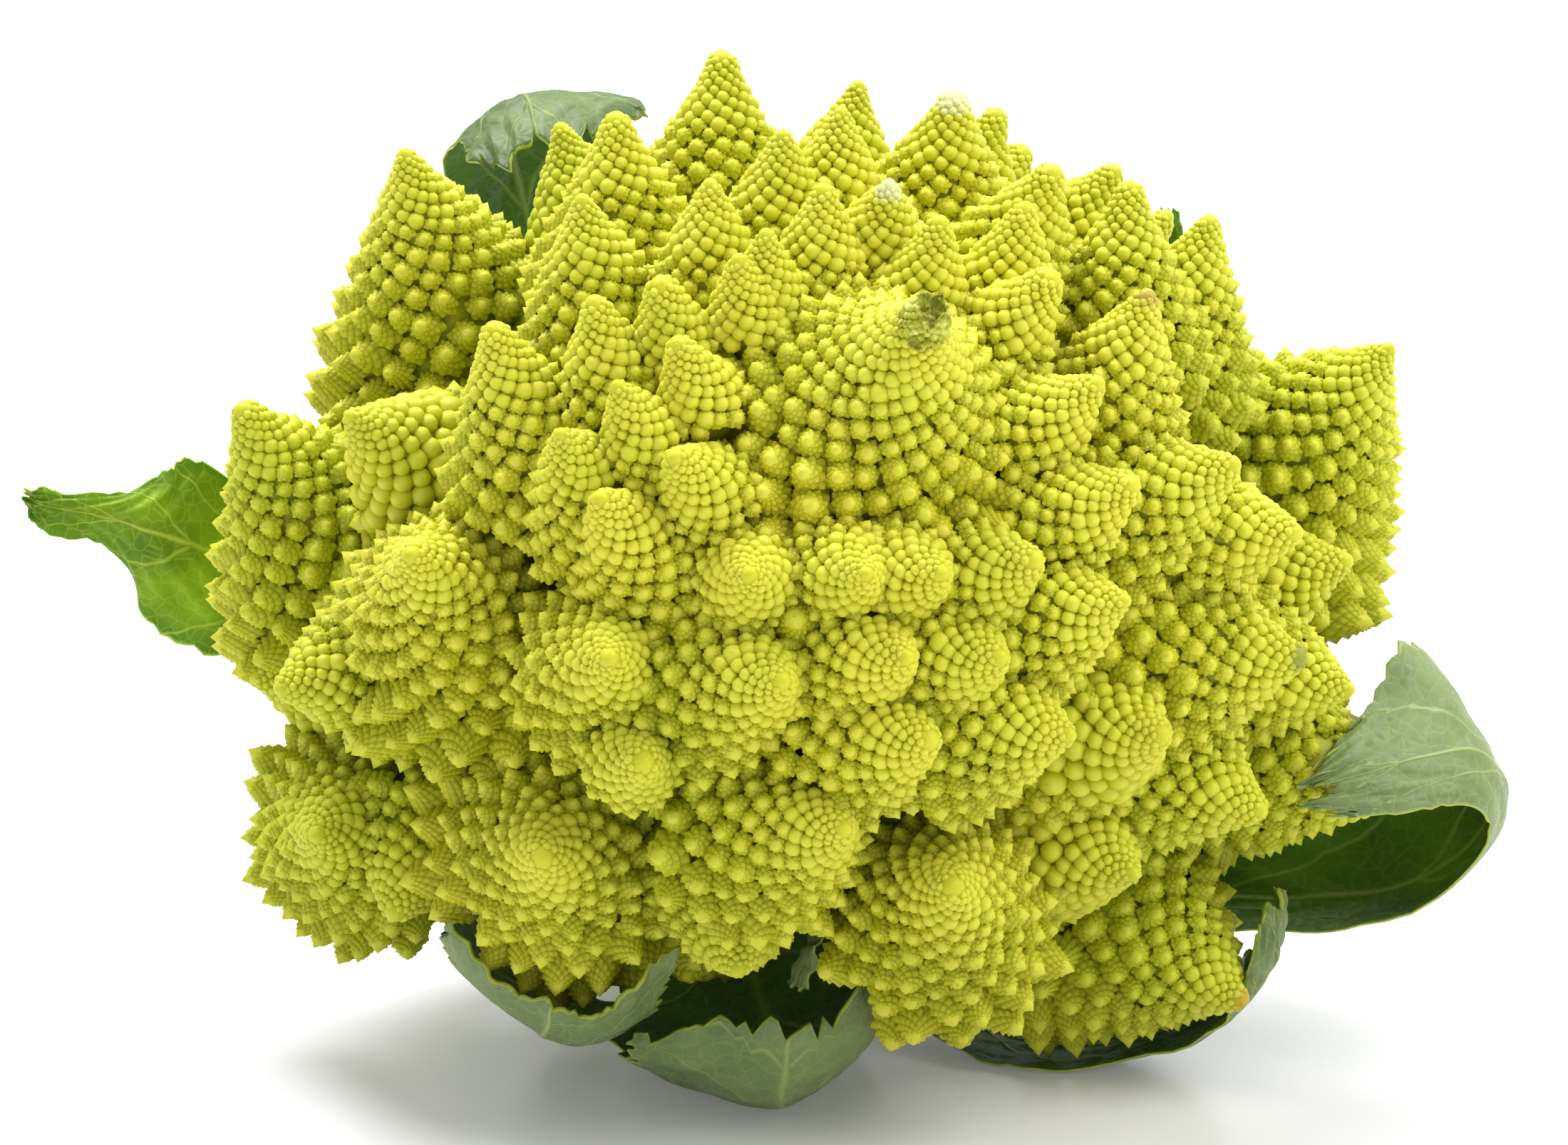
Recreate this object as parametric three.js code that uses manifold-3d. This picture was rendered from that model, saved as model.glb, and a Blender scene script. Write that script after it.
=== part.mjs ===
// A head of romanesco lying on its side, with the cut stalk behind and the inner leaves still round it.
// Millimetres, +Z up. The front of the head faces -Y, and the head rests on the plane z = 0.

import * as THREE from 'three';
import { mergeVertices } from 'three/addons/utils/BufferGeometryUtils.js';
import Module from 'manifold-3d';

// Middle of the head, above the surface that it rests on
const HEART = new THREE.Vector3(6.1, 1.7, 70);
// Half widths of the closed shape that the floret tips reach: across, up and towards the front
const REACH = new THREE.Vector3(86, 74, 75);
// The front view: how far above the level its line of sight comes from, and from what distance
const VIEW_RISE = THREE.MathUtils.degToRad(15);
const VIEW_DISTANCE = 900;
// The crown: how far it leans right and up and where its tip lies, seen in the front view, and how far that
// tip stands out past the reach of the others
const CROWN_LEAN = [15, 30];
const CROWN_TIP = [18.9, 36.6];
const CROWN_RISE = 12;
const CROWN_WIDTH = 58;
const CROWN_HEIGHT = 0.62;
// Tips at the rim of the closed shape still lie this far towards the front
const RIM_TOWARD = 15;
// The branches of the florets part this far below the middle of the head, along the crown's axis
const FORK_BELOW = 20;

const GOLDEN_ANGLE = THREE.MathUtils.degToRad(137.508);
const CLEARANCE = 0.35;
// The side of a cube that stands on the surface and holds the whole head
const ROOM = 600;
// Points nearer to each other than this are one
const MERGE = 1e-3;

// Shape of a floret: its height as a share of its width, and what one that points up has on top of that
const FLORET_HEIGHT = 0.95;
const UPRIGHT_GAIN = 0.3;
// 1 makes a straight cone, more a cone that swells out like a dome, and less one that flares out at its foot
const FLORET_SWELL = 1.3;
const CROWN_SWELL = 0.55;
// Neighbours run into each other, so each is this much wider than what shows of it
const OVERLAP = 1.12;
const BUD_RISE = 0.34;
// Buds on a floret, in how many spirals each way they stand, and the share of its height that its cap takes
const SMALL_FLORET = { buds: 10, spirals: [3, 5], cap: 0.2, swell: FLORET_SWELL };
const LARGE_FLORET = { buds: 17, spirals: [5, 8], cap: 0.2, swell: FLORET_SWELL };
const CROWN_FLORET = { buds: 50, spirals: [8, 13], cap: 0.12, swell: CROWN_SWELL };
const LARGE_WIDTH = 28;
// How far towards the fork of the stalk a floret's root reaches
const ROOT = 0.7;

// Florets of the front: tip across and up from the middle, width, and lean right and up in degrees
const FRONT_FLORETS = [
  [-10.7, 72, 25, 5, 72], [-25.7, 63.3, 21, -5, 65], [6, 64, 15, 10, 65], [-2.2, 60.8, 16, 5, 60],
  [22, 66.4, 25, 15, 60], [12.8, 53.7, 17, 10, 45], [36, 55.7, 19, 35, 50], [46.6, 53.7, 21, 10, 70],
  [58, 48.8, 22, 30, 60], [-55.4, 58.1, 31, -20, 55], [-30.6, 51.7, 19, -15, 60],
  [-12.5, 53.9, 14, 0, 62], [3.5, 53.2, 13, 5, 60], [32, 50.6, 13, 25, 60], [-43.2, 33.7, 20, -25, 55],
  [-29, 37.4, 17, -20, 55], [-25.9, 25.4, 13, -30, 45], [-33.9, 18.5, 17, -20, 35],
  [-28.4, 9.5, 18, -25, 30], [-78.4, 22.3, 31, -35, 45], [-54.8, 1.4, 31, -15, 20],
  [-26.7, -13.4, 22, 0, 5], [-2, -16.7, 22, 25, 0], [-7, -1.6, 14, 0, 5], [9.6, -1.6, 14, 15, 0],
  [33.8, 0.4, 14, 40, 10], [15.6, -13.4, 16, 30, 0], [28.8, -13.4, 17, 35, 0], [46.4, -5.2, 18, 50, 10],
  [18.9, -25, 18, 35, 0], [38.7, -24.4, 22, 50, -5], [6.8, -37.6, 25, 30, 0], [-36.1, -41.5, 34, -5, 0],
  [-68, -38.2, 28, -15, 0], [21.7, -45.3, 28, 5, 10], [62.9, -61.8, 32, 50, -25],
  [71.2, -13.4, 34, 60, 0], [83.3, 30.6, 36, 40, 38], [61.8, 14.1, 21, 55, 20], [49.2, 38.3, 18, 30, 55],
  [47.5, 11.3, 15, 50, 20], [42.6, 25.6, 13, 50, 30], [70.6, 4.2, 15, 60, 0], [78, -18, 22, 60, -10],
  [83, -34, 28, 60, -20], [22.8, -68, 22, 10, -50], [-8.6, -58, 20, 5, -40], [-57, -50, 18, -20, -45],
  [-73.5, -17.8, 20, -50, -10], [65.6, -35.4, 19, 55, -20],
];

// The other florets follow the golden angle round the crown's axis, between two polar angles, a little
// lower than the front's. Each has a place only where no other tip is nearer than a share of their widths,
// and it leans on towards the crown.
const OTHER_COUNT = 160;
const OTHER_POLAR = [THREE.MathUtils.degToRad(24), THREE.MathUtils.degToRad(114)];
const OTHER_WIDTH = [20, 32];
const OTHER_REACH = 0.92;
const OTHER_SPACING = 0.81;
const OTHER_LEAN = 0.5;

// The stalk runs back from the crown's axis: where it starts and ends below the middle, and its radii
const STALK_FROM = 36;
const STALK_TO = 81;
const STALK_RADII = [24, 21];
const STALK_SIDES = 24;
// The core under the florets, as radii and heights above the middle of the head along the crown's axis
const CORE = [[0, 58], [22, 50], [40, 34], [51, 17], [56, 0], [50, -16], [34, -29],
  [STALK_RADII[0], -STALK_FROM], [0, -STALK_FROM]];
const CORE_SIDES = 20;

// A leaf's blade: its thickness, how high its edges wave, how many radians the wave turns from one row
// to the next, and how deep every other row of its edge is cut in
const BLADE = 1.1;
const WAVE = 0.9;
const WAVE_STEP = 2.1;
const NOTCH = 0.22;
const CURL_ROWS = 7;
const CURL_COLUMNS = 3;

// Leaves as nets of points: across, up and towards the front, from the stalk outwards
const LEAVES = {
  leaf_front: [
    [[-20, -50, -38], [-14, -52, -38], [-8, -52, -38], [-2, -49, -40], [3, -45, -42]],
    [[-26, -62, -14], [-16, -67, -14], [-4, -66.3, -14], [8, -62, -16], [14, -54, -16]],
    [[-27, -67, 8], [-16, -72.6, 9], [-3, -74.9, 11], [8, -68, 9], [13, -57, 7]],
    [[-25, -68.6, 22], [-15, -71, 24], [-2, -73.5, 25], [9.5, -66, 21], [12, -54, 15]],
    [[-24, -66, 27], [-14, -64, 31], [-1, -62, 32], [9, -58, 27], [8.2, -48.7, 18]],
  ],
  leaf_front_left: [
    [[-34, -36, -48], [-31, -42, -46], [-27, -46, -42], [-22, -48, -38]],
    [[-47, -45, -14], [-38, -58, -16], [-33, -62, -16], [-28, -60, -14]],
    [[-50, -51, 12], [-40, -62, 10], [-31, -66, 12], [-20, -61, 14]],
    [[-50, -55, 26], [-40, -62.5, 28], [-30, -66.8, 29], [-18, -61, 28]],
    [[-51, -48, 32], [-40, -59, 35], [-29, -62, 36], [-16.5, -52.5, 34]],
  ],
  leaf_under_right: [
    [[-4, -50, -42], [3, -47, -44], [9, -42, -46]],
    [[18, -66, -12], [22, -62, -22], [27, -54, -32]],
    [[30, -71, -2], [37, -67.6, -12], [42, -58, -22]],
    [[46, -70.2, -1], [54, -65, -6], [58, -56, -12]],
    [[58, -66, 6], [62, -61, 4], [64, -54, 0]],
    [[64, -60, 9], [66.5, -54, 8], [67, -49, 6]],
    [[66, -48, 9], [67, -46, 8], [66.6, -43.7, 7]],
  ],
  leaf_right: [
    [[8, -36, -48], [10, -28, -50], [9, -18, -52]],
    [[40, -50, -20], [42, -44, -28], [44, -32, -34]],
    [[66, -52, -4], [68, -47, -12], [70, -33, -20]],
    [[84, -50, 4], [88, -44, -6], [86, -24, -14]],
    [[96, -40, 8], [98, -34, -2], [91, -16, -9]],
    [[93, -34, 17], [95, -27, 9], [84, -11, 2]],
    [[80, -36, 22], [82, -29, 18], [79, -20, 12]],
    [[70, -36, 24], [69, -33, 23], [70, -31, 21]],
  ],
  leaf_left: [
    [[-36, -34, -48], [-35, -28, -46], [-33, -22, -46]],
    [[-60, -28, -38], [-60, -15, -36], [-58, -3, -34]],
    [[-76, -17, -26], [-80, 0, -20], [-83, 15, -18]],
    [[-90, -10, -20], [-89, 4, -12], [-88, 14, -14]],
    [[-96, 1, -15], [-97, 6.5, -10], [-93.5, 10.5, -12]],
    [[-106, 4.5, -10], [-105, 8, -8], [-104, 10, -9]],
    [[-109, 8, -9], [-109.3, 9.3, -8.5], [-109, 10.5, -9]],
  ],
  leaf_back: [
    [[-27, -10, -56], [-19, -7, -58], [-11, -6, -58]],
    [[-40, 18, -60], [-30, 22, -66], [-18, 24, -66]],
    [[-49, 44, -44], [-38, 48, -50], [-22, 50, -52]],
    [[-50, 56, -28], [-40, 61, -32], [-24, 63, -34]],
    [[-48, 58, -18], [-38, 65, -20], [-20.7, 65, -22]],
    [[-45, 54, -12], [-36, 56, -9], [-21, 62, -15]],
  ],
  leaf_back_right: [
    [[-3, -8, -58], [3, -10, -57], [8, -14, -56]],
    [[14, 14, -64], [22, 10, -62], [30, 2, -58]],
    [[28, 34, -48], [40, 30, -46], [50, 20, -42]],
    [[33, 45, -30], [45, 43, -28], [56, 36, -26]],
    [[36, 49.5, -22], [46, 48.5, -20], [53, 51.5, -18]],
  ],
};
// The curl that hangs from the front leaf's right corner
const FRONT_CURL = [
  [[9, -50.5, 18], [7.5, -47.5, 17.5]],
  [[5, -50.5, 22], [4.5, -47.5, 22]],
  [[1, -54, 23], [3.5, -53, 26]],
  [[-1.5, -59.5, 23], [0.5, -60.5, 26]],
];

const wasm = await Module();
wasm.setup();

const RIGHT = new THREE.Vector3(1, 0, 0);
const UP = new THREE.Vector3(0, Math.sin(VIEW_RISE), Math.cos(VIEW_RISE));
const TOWARD = new THREE.Vector3(0, -Math.cos(VIEW_RISE), Math.sin(VIEW_RISE));

// A place given across, up and towards the front, as it is seen in the front view
function place(across, up, toward) {
  const nearness = 1 - toward / VIEW_DISTANCE;
  return HEART.clone()
    .addScaledVector(RIGHT, across * nearness)
    .addScaledVector(UP, up * nearness)
    .addScaledVector(TOWARD, toward);
}

// A direction from its lean right and up, in degrees off the line of sight
function leaning(rightward, upward) {
  const right = THREE.MathUtils.degToRad(rightward);
  const up = THREE.MathUtils.degToRad(upward);
  return new THREE.Vector3()
    .addScaledVector(RIGHT, Math.sin(right) * Math.cos(up))
    .addScaledVector(UP, Math.sin(up))
    .addScaledVector(TOWARD, Math.cos(right) * Math.cos(up));
}

const CROWN_AXIS = leaning(...CROWN_LEAN);
const FORK = HEART.clone().addScaledVector(CROWN_AXIS, -FORK_BELOW);

// How far towards the front the reach of the tips lies, at a place in the front view
function reachToward(across, up) {
  const inside = 1 - (across / REACH.x) ** 2 - (up / REACH.y) ** 2;
  return Math.max(RIM_TOWARD, REACH.z * Math.sqrt(Math.max(0, inside)));
}

// Two directions square to a given one
function squareTo(axis) {
  const side = new THREE.Vector3().crossVectors(TOWARD, axis);
  if (side.lengthSq() < 1e-4) side.copy(RIGHT);
  side.normalize();
  return [side, new THREE.Vector3().crossVectors(axis, side)];
}

function solidFrom(points, triangles) {
  const vertProperties = new Float32Array(points.flatMap((p) => [p.x, p.y, p.z]));
  const triVerts = new Uint32Array(triangles.flat());
  return new wasm.Manifold(new wasm.Mesh({ numProp: 3, vertProperties, triVerts }));
}

function solidFromGeometry(geometry) {
  const bare = geometry.clone();
  bare.deleteAttribute('normal');
  bare.deleteAttribute('uv');
  const merged = mergeVertices(bare, MERGE);
  const vertProperties = new Float32Array(merged.attributes.position.array);
  const triVerts = new Uint32Array(merged.index.array);
  return new wasm.Manifold(new wasm.Mesh({ numProp: 3, vertProperties, triVerts }));
}

// A floret: buds in two families of spirals round a pointed dome, with a root that sinks into the core.
// The hollows between the buds are the points of a golden-angle lattice, and each bud is a peak in one of
// its meshes.
function floret({ tip, axis, width, height }, { buds, spirals, cap, swell }) {
  // The spirals that wind clockwise come first, so that every face looks outwards
  const handed = [...spirals].sort((a, b) => Math.sin(a * GOLDEN_ANGLE) - Math.sin(b * GOLDEN_ANGLE));
  const [first, second] = handed;
  const ring = first + second;
  const last = buds + ring - 1;
  const growth = Math.log(1 / cap) / last;
  const [side, other] = squareTo(axis);
  const onDome = (share, angle) => {
    const radius = (width / 2) * (swell * share + (1 - swell) * share ** 2);
    return tip.clone()
      .addScaledVector(axis, -height * share)
      .addScaledVector(side, radius * Math.cos(angle))
      .addScaledVector(other, radius * Math.sin(angle));
  };

  const points = [];
  for (let i = 0; i <= last; i += 1) {
    points.push(onDome(Math.exp(-growth * (last - i)), i * GOLDEN_ANGLE));
  }
  const triangles = [];
  for (let i = 0; i < buds; i += 1) {
    const corners = [i, i + first, i + ring, i + second];
    const [a, b, c, d] = corners.map((corner) => points[corner]);
    const outward = new THREE.Vector3().crossVectors(c.clone().sub(a), d.clone().sub(b)).normalize();
    const size = (c.distanceTo(a) + d.distanceTo(b)) / 2;
    const peak = a.clone().add(b).add(c).add(d).multiplyScalar(0.25)
      .addScaledVector(outward, BUD_RISE * size);
    points.push(peak);
    corners.forEach((corner, k) => triangles.push([corner, corners[(k + 1) % 4], points.length - 1]));
  }

  const apex = points.push(tip.clone()) - 1;
  const base = tip.clone().addScaledVector(axis, -height);
  const root = points.push(base.lerp(FORK, ROOT)) - 1;
  for (let i = 0; i < ring; i += 1) {
    const next = (i + first) % ring;
    triangles.push([next, i, apex]);
    triangles.push([buds + i, buds + next, root]);
  }
  return solidFrom(points, triangles);
}

function floretHeight(width, axis) {
  return width * (FLORET_HEIGHT + UPRIGHT_GAIN * Math.max(0, axis.dot(UP)));
}

// The other florets: those of the golden-angle order that the front's florets leave room for
function otherFlorets(taken) {
  const [side, other] = squareTo(CROWN_AXIS);
  const found = [];
  for (let i = 0; i < OTHER_COUNT; i += 1) {
    const share = (i + 0.5) / OTHER_COUNT;
    const polar = Math.acos(THREE.MathUtils.lerp(Math.cos(OTHER_POLAR[0]), Math.cos(OTHER_POLAR[1]), share));
    const azimuth = i * GOLDEN_ANGLE;
    const outward = CROWN_AXIS.clone().multiplyScalar(Math.cos(polar))
      .addScaledVector(side, Math.sin(polar) * Math.cos(azimuth))
      .addScaledVector(other, Math.sin(polar) * Math.sin(azimuth));
    const seen = new THREE.Vector3(outward.dot(RIGHT), outward.dot(UP), outward.dot(TOWARD));
    const reach = OTHER_REACH / seen.clone().divide(REACH).length();
    const tip = HEART.clone().addScaledVector(outward, reach);
    const width = THREE.MathUtils.lerp(OTHER_WIDTH[0], OTHER_WIDTH[1], share);
    const free = [...taken, ...found].every((each) => each.tip.distanceTo(tip) > OTHER_SPACING
      * (each.width / OVERLAP + width) / 2);
    if (free) {
      const axis = outward.clone().addScaledVector(CROWN_AXIS, OTHER_LEAN).normalize();
      found.push({ tip, axis, width: OVERLAP * width, height: floretHeight(width, axis) });
    }
  }
  return found;
}

function allFlorets() {
  const front = FRONT_FLORETS.map(([across, up, width, rightward, upward]) => {
    const axis = leaning(rightward, upward);
    const tip = place(across, up, reachToward(across, up));
    return { tip, axis, width: OVERLAP * width, height: floretHeight(width, axis) };
  });
  return [...front, ...otherFlorets(front)];
}

// A solid turned round the crown's axis from radii and heights above the middle of the head
function turned(profile, segments) {
  const outline = profile.map(([radius, height]) => new THREE.Vector2(radius, height)).reverse();
  const lathe = new THREE.LatheGeometry(outline, segments);
  lathe.applyQuaternion(new THREE.Quaternion().setFromUnitVectors(new THREE.Vector3(0, 1, 0), CROWN_AXIS));
  lathe.translate(HEART.x, HEART.y, HEART.z);
  return solidFromGeometry(lathe);
}

function stalk(margin) {
  const [upper, lower] = STALK_RADII;
  return turned([[0, margin - STALK_FROM - CLEARANCE], [upper + margin, margin - STALK_FROM - CLEARANCE],
    [lower + margin, -STALK_TO - margin], [0, -STALK_TO - margin]], STALK_SIDES);
}

// Points of a net, smoothed both ways
function smoothNet(net, rows, columns) {
  const lines = net[0].map((_, column) => {
    const places = net.map((row) => place(...row[column]));
    return new THREE.CatmullRomCurve3(places);
  });
  return Array.from({ length: rows }, (_, i) => {
    const across = new THREE.CatmullRomCurve3(lines.map((line) => line.getPoint(i / (rows - 1))));
    return Array.from({ length: columns }, (_, j) => across.getPoint(j / (columns - 1)));
  });
}

// A thin closed blade over a net, with a waved surface and a cut edge, and the same split on both faces
function blade(net, rows, columns, thickness, margin) {
  const grid = smoothNet(net, rows, columns);
  const normals = grid.map((row, i) => row.map((_, j) => {
    const along = grid[Math.min(i + 1, rows - 1)][j].clone().sub(grid[Math.max(i - 1, 0)][j]);
    const across = row[Math.min(j + 1, columns - 1)].clone().sub(row[Math.max(j - 1, 0)]);
    return along.cross(across).normalize();
  }));
  const shaped = grid.map((row, i) => row.map((point, j) => {
    const edge = ((2 * j) / (columns - 1) - 1) ** 2;
    const outer = i / (rows - 1);
    // The next point in from the edge, or the point itself where it isn't on the edge
    const inner = row[Math.min(Math.max(j, 1), columns - 2)];
    const moved = point.clone().lerp(inner, (i % 2) * NOTCH * outer);
    if (margin > 0 && inner !== point) moved.addScaledVector(point.clone().sub(inner).normalize(), margin);
    return moved.addScaledVector(normals[i][j], WAVE * edge * outer * Math.sin(WAVE_STEP * i));
  }));
  if (margin > 0) {
    shaped[rows - 1].forEach((point, j) => {
      point.addScaledVector(point.clone().sub(shaped[rows - 2][j]).normalize(), margin);
    });
  }
  const half = thickness / 2 + margin;
  const face = (offset) => shaped.flatMap((row, i) => row.map((p, j) => (
    p.clone().addScaledVector(normals[i][j], offset))));
  const points = [...face(half), ...face(-half)];
  const count = rows * columns;
  const triangles = [];
  for (let i = 0; i + 1 < rows; i += 1) {
    for (let j = 0; j + 1 < columns; j += 1) {
      const a = i * columns + j;
      const [b, c, d] = [a + columns, a + columns + 1, a + 1];
      triangles.push([a, b, c], [a, c, d]);
      triangles.push([count + c, count + b, count + a], [count + d, count + c, count + a]);
    }
  }
  const rim = [];
  for (let j = 0; j < columns - 1; j += 1) rim.push(j);
  for (let i = 0; i < rows - 1; i += 1) rim.push(i * columns + columns - 1);
  for (let j = columns - 1; j > 0; j -= 1) rim.push((rows - 1) * columns + j);
  for (let i = rows - 1; i > 0; i -= 1) rim.push(i * columns);
  rim.forEach((a, k) => {
    const b = rim[(k + 1) % rim.length];
    triangles.push([a, b, count + b], [a, count + b, count + a]);
  });
  return solidFrom(points, triangles);
}

function leafSolid(name, margin) {
  const net = LEAVES[name];
  const rows = 2 * net.length + 1;
  const columns = 2 * net[0].length - 1;
  const main = blade(net, rows, columns, BLADE, margin);
  return name === 'leaf_front' ? main.add(blade(FRONT_CURL, CURL_ROWS, CURL_COLUMNS, BLADE, margin)) : main;
}

function union(solids) {
  return solids.reduce((whole, each) => whole.add(each));
}

function largestPiece(solid) {
  return solid.decompose().reduce((best, each) => (each.volume() > best.volume() ? each : best));
}

// One body with no loose scrap and no sealed hollow, also once points that all but touch are merged
function oneBody(solid) {
  return largestPiece(solidFromGeometry(geometryFrom(largestPiece(solid))));
}

// What lies below the surface is cut off, which leaves small flat spots to rest on
function aboveSurface(solid) {
  const room = new THREE.BoxGeometry(ROOM, ROOM, ROOM);
  room.translate(0, 0, ROOM / 2);
  return solid.intersect(solidFromGeometry(room));
}

function geometryFrom(solid) {
  const { vertProperties, triVerts } = solid.getMesh();
  const geometry = new THREE.BufferGeometry();
  geometry.setAttribute('position', new THREE.BufferAttribute(new Float32Array(vertProperties), 3));
  geometry.setIndex(new THREE.BufferAttribute(new Uint32Array(triVerts), 1));
  return geometry;
}

function meshFrom(name, solid, material) {
  const geometry = geometryFrom(solid);
  geometry.computeVertexNormals();
  const mesh = new THREE.Mesh(geometry, material);
  mesh.name = name;
  return mesh;
}

const leafMaterial = new THREE.MeshStandardMaterial({ color: 0x6f8f62, roughness: 0.55, metalness: 0 });
const curdMaterial = new THREE.MeshStandardMaterial({ color: 0xc3cf2f, roughness: 0.5, metalness: 0 });
const stalkMaterial = new THREE.MeshStandardMaterial({ color: 0xc9d79a, roughness: 0.6, metalness: 0 });

const head = new THREE.Group();
head.name = 'romanesco_head';

head.add(meshFrom('stalk', aboveSurface(stalk(0)), stalkMaterial));

const stalkRoom = stalk(CLEARANCE);
const leafRooms = [];
Object.keys(LEAVES).forEach((name) => {
  const leaf = leafSolid(name, 0).subtract(stalkRoom);
  const cleared = leafRooms.reduce((rest, room) => rest.subtract(room), leaf);
  head.add(meshFrom(name, oneBody(aboveSurface(cleared)), leafMaterial));
  leafRooms.push(leafSolid(name, CLEARANCE));
});

const crown = floret({
  tip: place(...CROWN_TIP, reachToward(...CROWN_TIP) + CROWN_RISE),
  axis: CROWN_AXIS,
  width: CROWN_WIDTH,
  height: CROWN_HEIGHT * CROWN_WIDTH,
}, CROWN_FLORET);
const florets = allFlorets().map((each) => (
  floret(each, each.width < LARGE_WIDTH ? SMALL_FLORET : LARGE_FLORET)));
const whole = union([turned(CORE, CORE_SIDES), crown, ...florets]);
const curd = leafRooms.reduce((solid, room) => solid.subtract(room), whole.subtract(stalkRoom));
head.add(meshFrom('curd', oneBody(aboveSurface(curd)), curdMaterial));

export default head;
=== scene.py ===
import math

import bpy
import numpy as np
from mathutils import Matrix, Vector
from mathutils.kdtree import KDTree


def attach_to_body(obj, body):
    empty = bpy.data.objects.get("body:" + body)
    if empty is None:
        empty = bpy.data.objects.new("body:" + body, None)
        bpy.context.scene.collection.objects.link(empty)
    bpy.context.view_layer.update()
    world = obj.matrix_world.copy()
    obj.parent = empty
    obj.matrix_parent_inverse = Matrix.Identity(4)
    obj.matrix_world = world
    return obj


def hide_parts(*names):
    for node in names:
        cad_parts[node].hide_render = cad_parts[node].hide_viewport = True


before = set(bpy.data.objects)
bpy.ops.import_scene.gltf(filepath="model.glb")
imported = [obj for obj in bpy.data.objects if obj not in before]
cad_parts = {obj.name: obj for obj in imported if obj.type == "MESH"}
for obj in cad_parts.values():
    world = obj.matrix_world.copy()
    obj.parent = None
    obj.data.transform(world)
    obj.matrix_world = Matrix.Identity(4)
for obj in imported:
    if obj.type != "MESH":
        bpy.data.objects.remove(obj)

bpy.ops.object.select_all(action="DESELECT")
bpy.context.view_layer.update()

MM = 0.001
# No point of the object is lower over the floor than this
FLOOR_GAP = 0.05

# The head's driving dimensions, in millimetres and degrees, as in the part itself: the middle of the
# head, its half-sizes across, up and towards the front, and how far forward its rim stands
HEART = np.array([6.1, 1.7, 70.0])
REACH = np.array([86.0, 74.0, 75.0])
RIM_TOWARD = 15.0
# How far the place where the florets branch lies below the middle, along the crown's axis
FORK_BELOW = 20.0
# The front view looks down this steeply, from this far away
VIEW_RISE = math.radians(15)
VIEW_DISTANCE = 900.0
# The crown: its lean right and up, its tip across and up, how far it stands out, its width, its height
# as a share of that, and how full it is near its tip
CROWN_LEAN = (15, 30)
CROWN_TIP = (18.9, 36.6)
CROWN_RISE = 12.0
CROWN_WIDTH = 58.0
CROWN_HEIGHT = 0.62
CROWN_SWELL = 0.55
# The florets: height as a share of the width, how much more of it the upright ones have, how full they
# are near their tips, and how much wider than their room they grow
FLORET_HEIGHT = 0.95
UPRIGHT_GAIN = 0.3
FLORET_SWELL = 1.3
OVERLAP = 1.12
GOLDEN_ANGLE = math.radians(137.508)

# Where the front view's middle lies from the middle of the head, and how wide it is there
VIEW_MIDDLE = (-2.0, -1.35)
VIEW_WIDTH = 220.0
SENSOR_WIDTH = 36.0

# Florets of the front: tip across and up from the middle, width, and lean right and up in degrees
FRONT_FLORETS = [
    (-10.7, 72, 25, 5, 72), (-25.7, 63.3, 21, -5, 65), (6, 64, 15, 10, 65), (-2.2, 60.8, 16, 5, 60),
    (22, 66.4, 25, 15, 60), (12.8, 53.7, 17, 10, 45), (36, 55.7, 19, 35, 50), (46.6, 53.7, 21, 10, 70),
    (58, 48.8, 22, 30, 60), (-55.4, 58.1, 31, -20, 55), (-30.6, 51.7, 19, -15, 60),
    (-12.5, 53.9, 14, 0, 62), (3.5, 53.2, 13, 5, 60), (20, 48.6, 10, 20, 55), (32, 50.6, 13, 25, 60),
    (36, 40.7, 12, 45, 40), (-43.2, 33.7, 20, -25, 55), (-29, 37.4, 17, -20, 55), (-19.6, 40, 12, -15, 50),
    (-8.6, 43.2, 9, -10, 50), (-4.7, 46.8, 9, 0, 55), (-17.4, 31.5, 10, -25, 45),
    (-25.9, 25.4, 13, -30, 45), (-33.9, 18.5, 17, -20, 35), (-28.4, 9.5, 18, -25, 30),
    (-18, 15.2, 12, -25, 25), (-78.4, 22.3, 31, -35, 45), (-54.8, 1.4, 31, -15, 20),
    (-26.7, -13.4, 22, 0, 5), (-2, -16.7, 22, 25, 0), (-7, -1.6, 14, 0, 5), (9.6, -1.6, 14, 15, 0),
    (20.6, -1.6, 12, 30, 0), (33.8, 0.4, 14, 40, 10), (15.6, -13.4, 16, 30, 0), (28.8, -13.4, 17, 35, 0),
    (46.4, -5.2, 18, 50, 10), (18.9, -25, 18, 35, 0), (38.7, -24.4, 22, 50, -5), (6.8, -37.6, 25, 30, 0),
    (-36.1, -41.5, 34, -5, 0), (-68, -38.2, 28, -15, 0), (21.7, -45.3, 28, 5, 10),
    (62.9, -61.8, 32, 50, -25), (71.2, -13.4, 34, 60, 0), (83.3, 30.6, 36, 40, 38),
    (61.8, 14.1, 21, 55, 20), (49.2, 38.3, 18, 30, 55), (47.5, 11.3, 15, 50, 20), (42.6, 25.6, 13, 50, 30),
    (70.6, 4.2, 15, 60, 0), (78, -18, 22, 60, -10), (83, -34, 28, 60, -20), (22.8, -68, 22, 10, -50),
    (-8.6, -58, 20, 5, -40), (-57, -50, 18, -20, -45), (-73.5, -17.8, 20, -50, -10),
    (-21.8, -28.2, 11, 10, 0), (65.6, -35.4, 19, 55, -20),
]
# The other florets follow the golden angle round the crown's axis where the front's leave room
OTHER_COUNT = 160
OTHER_POLAR = (math.radians(24), math.radians(114))
OTHER_WIDTH = (20.0, 32.0)
OTHER_SPACING = 0.81
OTHER_REACH = 0.92
OTHER_LEAN = 0.5
# Those of them whose tip would stand in a leaf, within this distance of it, are drawn back by this much
LEAF_NEARNESS = 3.8
DRAWN_BACK = 6.0

# Room of a bud, as its width at the floret's axis and its growth with the distance from that axis
FLORET_ROOM = (0.5, 0.32)
CROWN_ROOM = (0.5, 0.22)
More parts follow.
